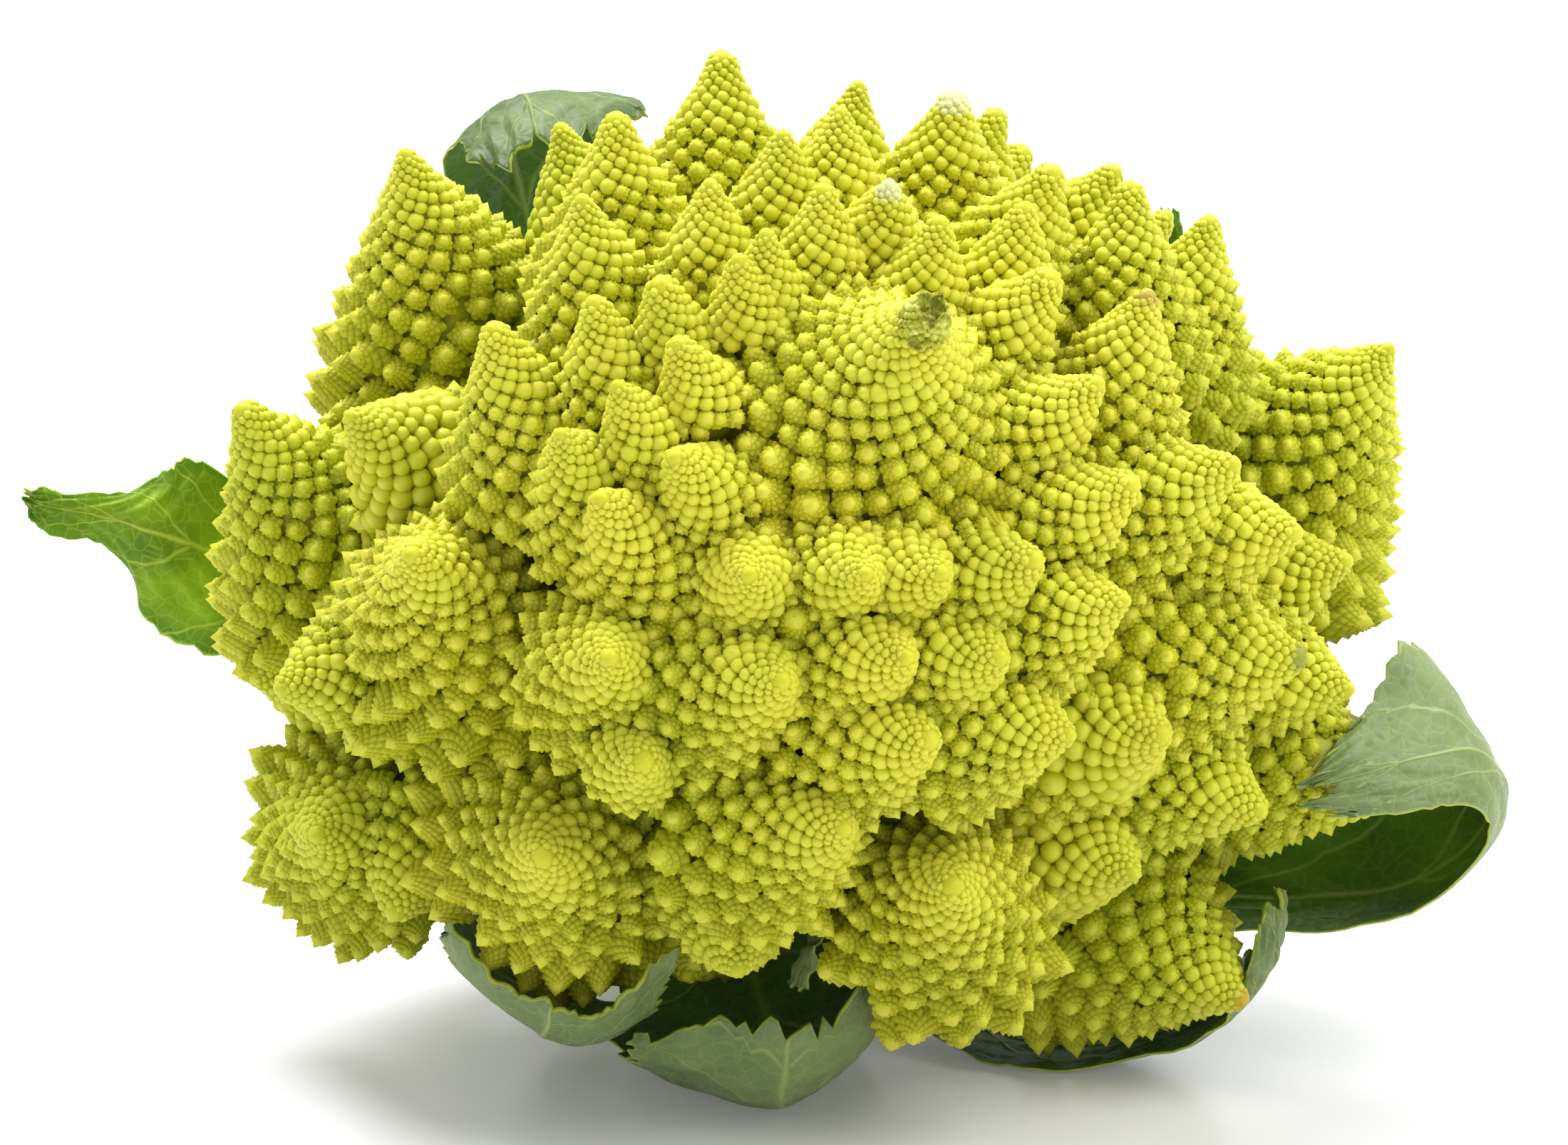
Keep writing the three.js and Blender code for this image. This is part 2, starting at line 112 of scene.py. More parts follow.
# How far below the tip the buds begin, and the radius that the bare tip is rounded with
BARE_DROP = 1.0
CROWN_BARE_DROP = 1.6
TIP_ROUNDNESS = (0.9, 1.8)
CROWN_ROUNDNESS = 2.4
# How far down the buds go, as a share of the floret's height, and their radius as a share of their room
FLORET_SPREAD = 1.1
CROWN_SPREAD = 1.08
BUD_FILL = 0.62
CROWN_FILL = 0.68
# How deep a bud lies in another floret before it is left out, as a share of its room, and how far from
# the leaves it has to stay, as a share of its size and a distance besides
HIDING_DEPTH = 0.1
LEAF_CLEARANCE = (1.1, 0.5)
# How finely the leaves are sampled for that, along and across
LEAF_SAMPLES = (60, 24)
# How far the buds lean to the floret's tip instead of standing square, there and how much more at its foot
BUD_LIFT = (0.2, 0.1)
# Unevenness of the buds' places along and round a floret, directions and sizes, and of the florets' ages
ALONG_SCATTER = 0.01
ROUND_SCATTER = 0.022
LEAN_SCATTER = 0.07
SIZE_SCATTER = 0.09
SIZE_LIMITS = (0.75, 1.2)
AGE_SCATTER = 0.12
# How far from the crown a floret is fully aged
AGE_REACH = 130.0
# The area of a bud's room is its width squared over this
PACKING = 1.1
# Buds whose rooms are wider than these are rounder, beaded, more finely beaded and most finely beaded.
# On the florets that the front view doesn't show they need to be this much wider for it.
ROUND_BUD, BEADED_BUD, CONE_BUD, LARGE_BUD = 1.0, 2.2, 3.4, 5.0
BACK_PLAINNESS = 1.7
# Profile of a beaded bud, by the share of its height and the square of that
BEADED_PROFILE = (1.3, -0.3)
# How light a beaded bud is painted, from 0 to 1, as painted shade at its foot and in the hollows between its
# beads, and as painted light at its tip
FOOT_PAINTED_SHADE = 0.75
HOLLOW_PAINTED_SHADE = 0.3
BUD_TIP_PAINTED_LIGHT = 0.95
# Painted shade in the hollows of small buds is lighter: their lightness at no width, what it loses by the
# width, and its limit
SMALL_HOLLOW_PAINTED_SHADE = (0.75, 0.2, 0.6)
# Florets of the front at least this wide are kept apart from the smaller ones
LARGE_FLORET = 22

# Rings of a floret's body under its buds: as shares of the bare tip's length, then of the whole height
TIP_RINGS = np.array([0.02, 0.1, 0.25, 0.5, 0.8, 1.2])
NECK_RING = 2.5
BODY_RINGS = [0.35, 0.55, 0.8, 1.0]
# How much deeper than the buds' feet the body lies lower down, as a share of the width
BODY_SINK = 0.06
# A floret's root: how fast it narrows, how far it reaches to the fork, and its width there as a share
ROOT_NARROWING = 0.55
ROOT_REACH = 0.7
ROOT_WIDTH = 0.12
# How light the bare tip and the body between the buds are painted, from 0 to 1: painted light on the tip,
# painted shade on the body
TIP_PAINTED_LIGHT = 0.66
BODY_PAINTED_SHADE = 0.3
# How deep the rings of the crown's damaged tip lie below where they would grow, from the middle outwards
CRATER = [2.6, 2.5, 2.1, 1.2, -0.5, -0.3]
# Raggedness of those rings: waves and scatter of their radius, then of their depth
RIM_WAVE, RIM_SCATTER = 0.12, 0.05
DEPTH_WAVE, DEPTH_SCATTER = 0.3, 0.2

# The stalk runs between these distances below the middle, with these radii at its ends
STALK_FROM = 36.0
STALK_TO = 81.0
STALK_RADII = (24.0, 21.0)
# The stalk's skin lies this far inside the solid's, besides its flutes, and its edge is rounded this early
STALK_INSET = 0.4
EDGE_ROUNDING = 0.6
# Heights of its broad and its fine flutes, depth and width of its leaf scars
FLUTE_HEIGHT, FINE_FLUTE_HEIGHT = 0.5, 0.25
SCAR_DEPTH, SCAR_WIDTH = 0.8, 0.12
# Rings of its cut face: radius as a share of the edge's, how far that lies inside the solid's, and how
# deep each ring is dished
CUT_INSET = 0.9
CUT_RINGS = ((0.985, 0.0), (0.93, 0.35), (0.8, 0.5), (0.5, 0.7), (0.2, 0.8), (0.02, 0.8))
# The body that all florets stand on: radii and heights above the middle, along the crown's axis
CORE = [(0.1, 57), (22, 49), (39, 33), (50, 16), (55, 0), (49, -16), (33, -29),
        (STALK_RADII[0] - 1, -STALK_FROM), (0.1, -STALK_FROM)]

# Leaves as nets of points: across, up and towards the front, from the stalk outwards
LEAVES = {
    "leaf_front": [
        [(-20, -50, -38), (-14, -52, -38), (-8, -52, -38), (-2, -49, -40), (3, -45, -42)],
        [(-26, -62, -14), (-16, -67, -14), (-4, -66.3, -14), (8, -62, -16), (14, -54, -16)],
        [(-27, -67, 8), (-16, -72.6, 9), (-3, -74.9, 11), (8, -68, 9), (13, -57, 7)],
        [(-25, -68.6, 22), (-15, -71, 24), (-2, -73.5, 25), (9.5, -66, 21), (12, -54, 15)],
        [(-24, -66, 27), (-14, -64, 31), (-1, -62, 32), (9, -58, 27), (8.2, -48.7, 18)],
    ],
    "leaf_front_left": [
        [(-34, -36, -48), (-31, -42, -46), (-27, -46, -42), (-22, -48, -38)],
        [(-47, -45, -14), (-38, -58, -16), (-33, -62, -16), (-28, -60, -14)],
        [(-50, -51, 12), (-40, -62, 10), (-31, -66, 12), (-20, -61, 14)],
        [(-50, -55, 26), (-40, -62.5, 28), (-30, -66.8, 29), (-18, -61, 28)],
        [(-51, -48, 32), (-40, -59, 35), (-29, -62, 36), (-16.5, -52.5, 34)],
    ],
    "leaf_under_right": [
        [(-4, -50, -42), (3, -47, -44), (9, -42, -46)],
        [(18, -66, -12), (22, -62, -22), (27, -54, -32)],
        [(30, -71, -2), (37, -67.6, -12), (42, -58, -22)],
        [(46, -70.2, -1), (54, -65, -6), (58, -56, -12)],
        [(58, -66, 6), (62, -61, 4), (64, -54, 0)],
        [(62.5, -60, 13), (66.5, -55, 10), (68, -50, 5)],
        [(63.5, -49, 14), (66.5, -46.5, 11), (67.6, -43.7, 7)],
    ],
    "leaf_right": [
        [(8, -36, -48), (10, -28, -50), (9, -18, -52)],
        [(40, -50, -20), (42, -44, -28), (44, -32, -34)],
        [(66, -52, -4), (68, -47, -12), (70, -33, -20)],
        [(84, -50, 4), (88, -44, -6), (86, -24, -14)],
        [(96, -40, 8), (98, -34, -2), (91, -16, -9)],
        [(93, -34, 17), (95, -27, 9), (84, -11, 2)],
        [(80, -36, 22), (82, -29, 18), (79, -20, 12)],
        [(70, -36, 24), (69, -33, 23), (70, -31, 21)],
    ],
    "leaf_left": [
        [(-36, -34, -48), (-35, -28, -46), (-33, -22, -46)],
        [(-60, -28, -38), (-60, -15, -36), (-58, -3, -34)],
        [(-76, -17, -26), (-80, 0, -20), (-83, 15, -18)],
        [(-90, -10, -20), (-89, 4, -12), (-88, 14, -14)],
        [(-96, 1, -15), (-97, 6.5, -10), (-93.5, 10.5, -12)],
        [(-106, 4.5, -10), (-105, 8, -8), (-104, 10, -9)],
        [(-109, 8, -9), (-109.3, 9.3, -8.5), (-109, 10.5, -9)],
    ],
    "leaf_back": [
        [(-27, -10, -56), (-19, -7, -58), (-11, -6, -58)],
        [(-40, 18, -60), (-30, 22, -66), (-18, 24, -66)],
        [(-49, 44, -44), (-38, 48, -50), (-22, 50, -52)],
        [(-50, 56, -28), (-40, 61, -32), (-24, 63, -34)],
        [(-48, 58, -18), (-38, 65, -20), (-20.7, 65, -22)],
        [(-45, 54, -12), (-36, 56, -9), (-21, 62, -15)],
    ],
    "leaf_back_right": [
        [(-3, -8, -58), (3, -10, -57), (8, -14, -56)],
        [(14, 14, -64), (22, 10, -62), (30, 2, -58)],
        [(28, 34, -48), (40, 30, -46), (50, 20, -42)],
        [(33, 45, -30), (45, 43, -28), (56, 36, -26)],
        [(36, 49.5, -22), (46, 48.5, -20), (53, 51.5, -18)],
    ],
}
# The curl that hangs from the front leaf's right corner
FRONT_CURL = [
    [(9, -50.5, 18), (7.5, -47.5, 17.5)],
    [(5, -50.5, 22), (4.5, -47.5, 22)],
    [(1, -54, 23), (3.5, -53, 26)],
    [(-1.5, -59.5, 23), (0.5, -60.5, 26)],
]
# Which side of each net is the leaf's waxy outside
OUTER_SIDES = {
    "leaf_front": -1, "leaf_front_left": -1, "leaf_under_right": -1, "leaf_right": -1, "leaf_left": 1,
    "leaf_back": 1, "leaf_back_right": 1,
}
# Side veins on a leaf and how far they sweep back, and heights of its ripple and of its bulges between them
SIDE_VEINS = 9
VEIN_SWEEP = 0.28
RIPPLE_HEIGHT = 0.55
QUILTING_HEIGHT = 0.45
# The midrib's height, its width as a share of half the leaf's, and how much lower it is at the leaf's end
RIB_HEIGHT = 1.3
RIB_WIDTH = 0.07
RIB_TAPER = 0.75
# How much thinner the blade is at its edge
EDGE_THINNING = 0.55
# Teeth along each side and across the end, how deep the end's are beside the sides', and how the cut is
# shared between teeth, which curve this much, and broad lobes, of which a side has this many
SIDE_TEETH, END_TEETH = 17, 15
END_DEPTH = 0.6
TOOTH_SHARE, TOOTH_CURVE = 0.65, 1.4
LOBE_SHARE, LOBE_COUNT = 0.5, 2.3
# The ripple: its waves, how many the first has along the leaf, how fast the others weaken, and their
# heights at the midrib and at the edge
WAVE_COUNT = 5
WAVE_PITCH = 1.9
WAVE_FALL = 0.7
MIDDLE_WAVE, EDGE_WAVE = 0.2, 1.1
# The frill at a leaf's end: pitches with their heights, and the height of the whole
FRILLS = ((3.4, 1.0), (6.1, 0.6))
FRILL_HEIGHT = 0.8

# Colours of the curd's skin, from the painted shade in the hollows between its buds to the painted light on
# their tops, and of the oldest florets
SKIN_BY_PAINTED_SHADING = [
    (0.0, (0.23, 0.225, 0.006)), (0.35, (0.48, 0.45, 0.014)),
    (0.7, (0.625, 0.58, 0.026)), (1.0, (0.70, 0.645, 0.06)),
]
AGED_GREEN = (0.42, 0.50, 0.012)
AGED_STRENGTH = 0.45
SPECK_COLOUR = (0.26, 0.22, 0.01)
SPECK_STRENGTH = 0.45
# The crown's damaged tip, in metres: its radius, and its shades from dark to pale
BRUISE_RADIUS = 0.0062
BRUISE_SHADES = [(0.38, (0.07, 0.065, 0.004)), (0.5, (0.33, 0.36, 0.015)), (0.62, (0.66, 0.72, 0.22))]
# Marks on the tips of florets: the tip across and up, radius in metres, colour and strength
PALE_SCUFF = (0.75, 0.8, 0.42)
MARKS = [
    ((12.8, 53.7), 0.0035, PALE_SCUFF, 0.8), ((22, 66.4), 0.004, PALE_SCUFF, 0.8),
    ((49.2, 38.3), 0.0028, (0.35, 0.2, 0.05), 0.6), ((71.2, -13.4), 0.0028, (0.16, 0.19, 0.03), 0.7),
    ((62.9, -61.8), 0.0024, (0.50, 0.24, 0.02), 0.6),
]
# Faces of the leaves: deep, pale and vein colours, roughness, shine, light let through, and how much
# deeper the colour is at the tip and edges
LEAF_FACES = {
    "leaf_outside": ((0.085, 0.14, 0.04), (0.22, 0.29, 0.10), (0.38, 0.45, 0.13), 0.45, 0.35, 0.1),
    # Painted shade: a darker copy of the leaves' outside, for the leaves at the back
    "leaf_outside_painted_shade": ((0.05, 0.09, 0.025), (0.14, 0.20, 0.065), (0.28, 0.36, 0.12), 0.5, 0.3, 0.1),
    "leaf_inside": ((0.03, 0.085, 0.006), (0.085, 0.19, 0.015), (0.22, 0.33, 0.05), 0.45, 0.3, 0.15),
    # Painted light: the inside of the left leaf, painted lighter as if lit through from behind, and deeper
    # towards its tip and edges
    "leaf_sunlit": ((0.05, 0.13, 0.004), (0.33, 0.50, 0.01), (0.55, 0.64, 0.08), 0.6, 0.2, 0.25, 0.9),
    "leaf_rim": ((0.26, 0.34, 0.05), (0.46, 0.52, 0.07), (0.46, 0.50, 0.10), 0.5, 0.3, 0.1),
}

# The studio: strength of the light from all round, and each lamp's place, size in metres and watts
WORLD_STRENGTH = 0.67
LAMPS = {
    "key": ((-0.35, 0.3, 1.1), 0.6, 17.0),
    "rim": ((0.45, 0.75, 0.8), 0.6, 6.0),
    "fill": ((0.7, -0.25, 0.9), 0.8, 9.0),
}
LAMP_TARGET = (0, 0, 0.07)
# The floor: its colour near the head, grey as painted shadow, and far off, and where the change begins and
# how long it takes
FLOOR_NEAR_PAINTED_SHADE = (0.75, 0.75, 0.78)
FLOOR_FAR = (0.95, 0.95, 0.95)
FLOOR_CHANGE = (0.12, 0.5)
# How much the floor glows as painted light near the head, and how much more far off
FLOOR_PAINTED_GLOW = (0.1, 0.4)
FLOOR_SIZE = 6.0

RIGHT = np.array([1.0, 0.0, 0.0])
UP = np.array([0.0, math.sin(VIEW_RISE), math.cos(VIEW_RISE)])
TOWARD = np.array([0.0, -math.cos(VIEW_RISE), math.sin(VIEW_RISE)])

draw = np.random.default_rng(7)


# Places and directions

def unit(v):
    return v / np.linalg.norm(v, axis=-1, keepdims=True)


def place(across, up, toward):
    """A place given across, up and towards the front, as it is seen in the front view."""
    nearness = 1 - toward / VIEW_DISTANCE
    return HEART + RIGHT * across * nearness + UP * up * nearness + TOWARD * toward


def leaning(rightward, upward):
    """A direction from its lean right and up, in degrees off the line of sight."""
    right, up = math.radians(rightward), math.radians(upward)
    return (RIGHT * math.sin(right) * math.cos(up) + UP * math.sin(up)
            + TOWARD * math.cos(right) * math.cos(up))


def reach_toward(across, up):
    """How far towards the front the head's surface lies there."""
    inside = 1 - (across / REACH[0]) ** 2 - (up / REACH[1]) ** 2
    return max(RIM_TOWARD, REACH[2] * math.sqrt(max(0.0, inside)))


def square_to(axis):
    """Two directions square to an axis and to each other."""
    side = np.cross(TOWARD, axis)
    side = RIGHT.copy() if side @ side < 1e-4 else unit(side)
    return side, np.cross(axis, side)


CROWN_AXIS = leaning(*CROWN_LEAN)
CROWN_PLACE = place(*CROWN_TIP, reach_toward(*CROWN_TIP) + CROWN_RISE)
FORK = HEART - FORK_BELOW * CROWN_AXIS


# Meshes

class Shape:
    """Points, triangles and per-point values that grow by parts and end as one mesh object."""

    def __init__(self):
        self.points, self.triangles, self.rise, self.age = [], [], [], []
        self.count = 0

    def add(self, points, triangles, rise, age):
        self.points.append(points)
        self.triangles.append(triangles + self.count)
        self.rise.append(rise)
        self.age.append(np.full(len(points), age) if np.isscalar(age) else age)
        self.count += len(points)

    def build(self, name, material):
        points = np.concatenate(self.points)
        points[:, 2] = np.maximum(points[:, 2], FLOOR_GAP)
        triangles = np.concatenate(self.triangles)
        mesh = bpy.data.meshes.new(name)
        mesh.vertices.add(len(points))
        mesh.vertices.foreach_set("co", (points * MM).ravel())
        mesh.loops.add(3 * len(triangles))
        mesh.loops.foreach_set("vertex_index", triangles.ravel().astype(np.int32))
        mesh.polygons.add(len(triangles))
        mesh.polygons.foreach_set("loop_start", np.arange(0, 3 * len(triangles), 3, dtype=np.int32))
        mesh.polygons.foreach_set("use_smooth", np.ones(len(triangles), dtype=bool))
        # Per point: its painted light and shade, which on the stalk sets how pale its cut face is, and its
        # age
        for key, values in (("rise", self.rise), ("age", self.age)):
            layer = mesh.attributes.new(key, "FLOAT", "POINT")
            layer.data.foreach_set("value", np.concatenate(values).astype(np.float32))
        mesh.update()
        mesh.validate()
        mesh.materials.append(material)
        piece = bpy.data.objects.new(name, mesh)
        bpy.context.scene.collection.objects.link(piece)
        return piece


def knob(segments, polar_degrees):
    """A bud as a closed round knob of radius 1 that stands on its pole, open at the bottom."""
    points = [(0.0, 0.0, 1.0)]
    triangles = []
    for level, degrees in enumerate(polar_degrees):
        polar = math.radians(degrees)
        turn = 0.5 * level
        for k in range(segments):
            angle = 2 * math.pi * (k + turn) / segments
            points.append((math.sin(polar) * math.cos(angle),
                           math.sin(polar) * math.sin(angle), math.cos(polar)))
    for k in range(segments):
        following = (k + 1) % segments
        triangles.append((0, 1 + k, 1 + following))
        for level in range(len(polar_degrees) - 1):
            a, b = 1 + level * segments + k, 1 + level * segments + following
            c, d = a + segments, b + segments
            triangles.extend([(a, c, b), (b, c, d)])
    points = np.array(points)
    # Painted light on the knob's pole, fading to painted shade at its side and foot
    return points, np.array(triangles), np.clip(points[:, 2], 0, 1)


def beaded_cone(buds, spirals, cap, height, bead_rise):
    """A small cone of radius 1 that carries beads of its own on a golden-angle lattice."""
    first, second = sorted(spirals, key=lambda n: math.sin(n * GOLDEN_ANGLE))
    ring = first + second
    last = buds + ring - 1
    index = np.arange(last + 1)
    share = np.exp(-math.log(1 / cap) / last * (last - index))
    angle = index * GOLDEN_ANGLE
    radius = BEADED_PROFILE[0] * share + BEADED_PROFILE[1] * share ** 2
    points = np.stack([radius * np.cos(angle), radius * np.sin(angle), height * (1 - share)], axis=1)
    corners = np.array([[i, i + first, i + ring, i + second] for i in range(buds)])
    # Each bead has corners of its own, so that it is shaded as round
    quads = points[corners]
    diagonals = (quads[:, 2] - quads[:, 0], quads[:, 3] - quads[:, 1])
    outward = unit(np.cross(*diagonals))
    across = sum(np.linalg.norm(diagonal, axis=1) for diagonal in diagonals)
    peaks = quads.mean(axis=1) + outward * (bead_rise * across / 2)[:, None]
    beads = np.concatenate([quads, peaks[:, None]], axis=1).reshape(-1, 3)
    tip = np.array([[0.0, 0.0, height * (1 - 0.3 * cap)]])
    everything = np.concatenate([beads, points[:ring], tip])
    triangles = [(5 * i + k, 5 * i + (k + 1) % 4, 5 * i + 4) for i in range(buds) for k in range(4)]
    apex = len(everything) - 1
    triangles.extend([(5 * buds + (i + first) % ring, 5 * buds + i, apex) for i in range(ring)])
    # Painted shade in the hollows between the beads and towards the bud's foot, painted light on its tip
    lit = FOOT_PAINTED_SHADE + (1 - FOOT_PAINTED_SHADE) * (1 - share[corners[:, 2]])
    bead_rises = np.stack([HOLLOW_PAINTED_SHADE * lit] * 4 + [lit], axis=1).ravel()
    return everything, np.array(triangles), np.concatenate([bead_rises, np.full(ring + 1, BUD_TIP_PAINTED_LIGHT)])


def stamped(template, centres, directions, sizes, turns):
    """Copies of a template at each centre, standing along its direction, as one run of points."""
    points, triangles, rise = template
    helper = np.where(np.abs(directions[:, 2:3]) < 0.9, np.array([[0.0, 0, 1]]), np.array([[1.0, 0, 0]]))
    side = unit(np.cross(helper, directions))
    other = np.cross(directions, side)
    cos, sin = np.cos(turns)[:, None], np.sin(turns)[:, None]
    across, along = side * cos + other * sin, other * cos - side * sin
    scaled = points[None] * sizes[:, None, None]
    placed = (centres[:, None] + scaled[..., 0:1] * across[:, None] + scaled[..., 1:2] * along[:, None]
              + scaled[..., 2:3] * directions[:, None])
    offsets = np.arange(len(centres)) * len(points)
    numbered = (triangles[None] + offsets[:, None, None]).reshape(-1, 3)
    return placed.reshape(-1, 3), numbered, np.tile(rise, len(centres))


TEMPLATES = [
    # Widest room that a template serves, the template, and how deep it sits in the surface
    (ROUND_BUD, knob(6, (50, 100)), 0.35),
    (BEADED_BUD, knob(7, (32, 66, 102)), 0.2),
    (CONE_BUD, beaded_cone(22, (5, 8), 0.28, 1.75, 0.36), 0.5),
    (LARGE_BUD, beaded_cone(38, (5, 8), 0.22, 2.1, 0.36), 0.55),
    (math.inf, beaded_cone(68, (8, 13), 0.18, 2.3, 0.38), 0.6),
]


# Curd

def floret_height(width, axis):
    return width * (FLORET_HEIGHT + UPRIGHT_GAIN * max(0.0, axis @ UP))


class Floret:
    """One cone of the curd, which swells from its tip and stands on the head's fork."""

    def __init__(self, tip, axis, width, height, plainness=1.0):
        self.tip, self.axis, self.width, self.height, self.plainness = tip, axis, width, height, plainness
        self.swell, self.room, self.bare, self.spread = FLORET_SWELL, FLORET_ROOM, BARE_DROP, FLORET_SPREAD
        self.roundness = draw.uniform(*TIP_ROUNDNESS)
        self.fill = BUD_FILL
        self.broken = False

    def radius(self, share):
        cone = self.width / 2 * (self.swell * share + (1 - self.swell) * share ** 2)
        drop = share * self.height
        return np.sqrt(cone ** 2 + 2 * self.roundness * drop * np.exp(-drop / self.roundness))

    def widening(self, share):
        step = 1e-3
        return (self.radius(share + step) - self.radius(share - step)) / (2 * step)

    def room_at(self, radius):
        """How wide a bud's room is at this distance from the floret's axis."""
        return self.room[0] + self.room[1] * radius

    def shares(self):
        """How far down each bud stands, as shares of the height, from the tip to the foot."""
        found = []
        share = self.bare / self.height
        while share < self.spread:
            found.append(share)
            radius = self.radius(share)
            room = self.room_at(radius)
            slope = math.hypot(self.height, self.widening(share))
            share += room ** 2 / (PACKING * 2 * math.pi * radius * slope)
        return np.array(found)

    def holds(self, points, skin):
        """Which points lie deeper than the skin inside this floret or its root."""
        away = points - self.tip
        drop = -(away @ self.axis)
        aside = np.linalg.norm(away + drop[:, None] * self.axis, axis=1)
        share = drop / self.height
        narrowing = np.clip(1 - ROOT_NARROWING * (share - 1), 0, 1)
        return (share > 0) & (aside < self.radius(np.clip(share, 0, 1)) * narrowing - skin)

    def add_to(self, shape, others, near_leaf):
        """Adds the core and the buds, without those that others hide or that would pass through a leaf."""
        share = self.shares()
        count = len(share)
        share = share * (1 + draw.normal(0, ALONG_SCATTER, count))
        angle = (draw.uniform(0, 2 * math.pi) + np.arange(count) * GOLDEN_ANGLE
                 + draw.normal(0, ROUND_SCATTER, count))
        side, other = square_to(self.axis)
        radial = np.cos(angle)[:, None] * side + np.sin(angle)[:, None] * other
        radius = self.radius(share)
        widening = self.widening(share)
        centres = self.tip - self.axis * (self.height * share)[:, None] + radial * radius[:, None]
        outward = unit(radial * self.height + self.axis * widening[:, None])
        room = self.room_at(radius)
        lifted = outward + (BUD_LIFT[0] + BUD_LIFT[1] * share)[:, None] * self.axis
        directions = unit(lifted + draw.normal(0, LEAN_SCATTER, outward.shape))
        sizes = room * self.fill * np.clip(draw.normal(1, SIZE_SCATTER, count), *SIZE_LIMITS)
        tops = centres + directions * sizes[:, None]
        hidden = np.zeros(count, dtype=bool)
        skin = HIDING_DEPTH * room
        for floret in others:
            if floret is not self:
                hidden |= floret.holds(centres, skin) & floret.holds(tops, skin)
        hidden |= near_leaf(centres, sizes)
        # Florets further from the crown are older and greener
        from_crown = np.linalg.norm(self.tip - CROWN_PLACE)
        age = float(np.clip(from_crown / AGE_REACH + draw.normal(0, AGE_SCATTER), 0, 1))
        below = 0.0
        for widest, template, sink in TEMPLATES:
            widest = widest * self.plainness
            chosen = (room > below) & (room <= widest) & ~hidden
            below = widest
            if chosen.any():
                sunk = centres[chosen] - outward[chosen] * (sizes[chosen] * sink)[:, None]
                turns = draw.uniform(0, 2 * math.pi, chosen.sum())
                points, triangles, rise = stamped(template, sunk, directions[chosen],
                                                  sizes[chosen], turns)
                # The painted shade in the hollows of small buds is made lighter, by the width of their room
                lightest, loss, limit = SMALL_HOLLOW_PAINTED_SHADE
                lowest = np.clip(lightest - loss * room[chosen], 0, limit).repeat(len(template[0]))
                shape.add(points, triangles, lowest + (1 - lowest) * rise, age)
        self.add_core(shape, age)

    def add_core(self, shape, age):
        """The body under the buds, from the bare round tip down to the root in the head's fork."""
        segments = 48 if self.broken else 16
        side, other = square_to(self.axis)
        angles = 2 * math.pi * np.arange(segments) / segments
        around = np.cos(angles)[:, None] * side + np.sin(angles)[:, None] * other
        bare = self.bare / self.height
        shares = np.concatenate([bare * TIP_RINGS, [NECK_RING * bare], BODY_RINGS])
        rings = []
        for level, share in enumerate(shares):
            sunk = BODY_SINK * self.width * max(0.0, share - bare)
            radius = np.full(segments, self.radius(share) - sunk)
            drop = np.full(segments, share * self.height)
            if self.broken and level < len(CRATER):
                # The damaged tip is a ragged hollow
                radius = radius * (1 + RIM_WAVE * np.sin(5 * angles + level)
                                   + draw.normal(0, RIM_SCATTER, segments))
                drop = drop + CRATER[level] * (1 + DEPTH_WAVE * np.sin(3 * angles)
                                               + draw.normal(0, DEPTH_SCATTER, segments))
            rings.append(self.tip - self.axis * drop[:, None] + around * radius[:, None])
        base = self.tip - self.axis * self.height
        root = base + ROOT_REACH * (FORK - base)
        rings.append(root + around * self.width * ROOT_WIDTH)
        summit = self.tip - self.axis * (CRATER[0] if self.broken else 0.0)
        points = np.concatenate([[summit], *rings, [root]])
        triangles = [(0, 1 + k, 1 + (k + 1) % segments) for k in range(segments)]
        for level in range(len(rings) - 1):
            for k in range(segments):
                a, b = 1 + level * segments + k, 1 + level * segments + (k + 1) % segments
                triangles.extend([(a, a + segments, b), (b, a + segments, b + segments)])
        final = 1 + (len(rings) - 1) * segments
        triangles.extend([(final + k, len(points) - 1, final + (k + 1) % segments) for k in range(segments)])
        # Painted light on the bare tip, painted shade on the body below it, and the deepest painted shade at
        # the root
        levels = np.where(np.arange(len(rings)) < len(TIP_RINGS), TIP_PAINTED_LIGHT, BODY_PAINTED_SHADE)
        rise = np.concatenate([[TIP_PAINTED_LIGHT], np.repeat(levels, segments), [0.0]])
        shape.add(points, np.array(triangles), rise, age)


def other_florets(taken):
    """The florets of the back and the underside, where those already taken leave room."""
    side, other = square_to(CROWN_AXIS)
    found = []
    for i in range(OTHER_COUNT):
        share = (i + 0.5) / OTHER_COUNT
        high, low = math.cos(OTHER_POLAR[0]), math.cos(OTHER_POLAR[1])
        polar = math.acos(high + (low - high) * share)
        azimuth = i * GOLDEN_ANGLE
        outward = (CROWN_AXIS * math.cos(polar) + side * math.sin(polar) * math.cos(azimuth)
                   + other * math.sin(polar) * math.sin(azimuth))
        seen = np.array([outward @ RIGHT, outward @ UP, outward @ TOWARD])
        tip = HEART + outward * OTHER_REACH / np.linalg.norm(seen / REACH)
        width = OTHER_WIDTH[0] + (OTHER_WIDTH[1] - OTHER_WIDTH[0]) * share
        if all(np.linalg.norm(each.tip - tip) > OTHER_SPACING * (each.width / OVERLAP + width) / 2
               for each in taken + found):
            axis = unit(outward + OTHER_LEAN * CROWN_AXIS)
            height = floret_height(width, axis)
            found.append(Floret(tip, axis, OVERLAP * width, height, plainness=BACK_PLAINNESS))
    return found


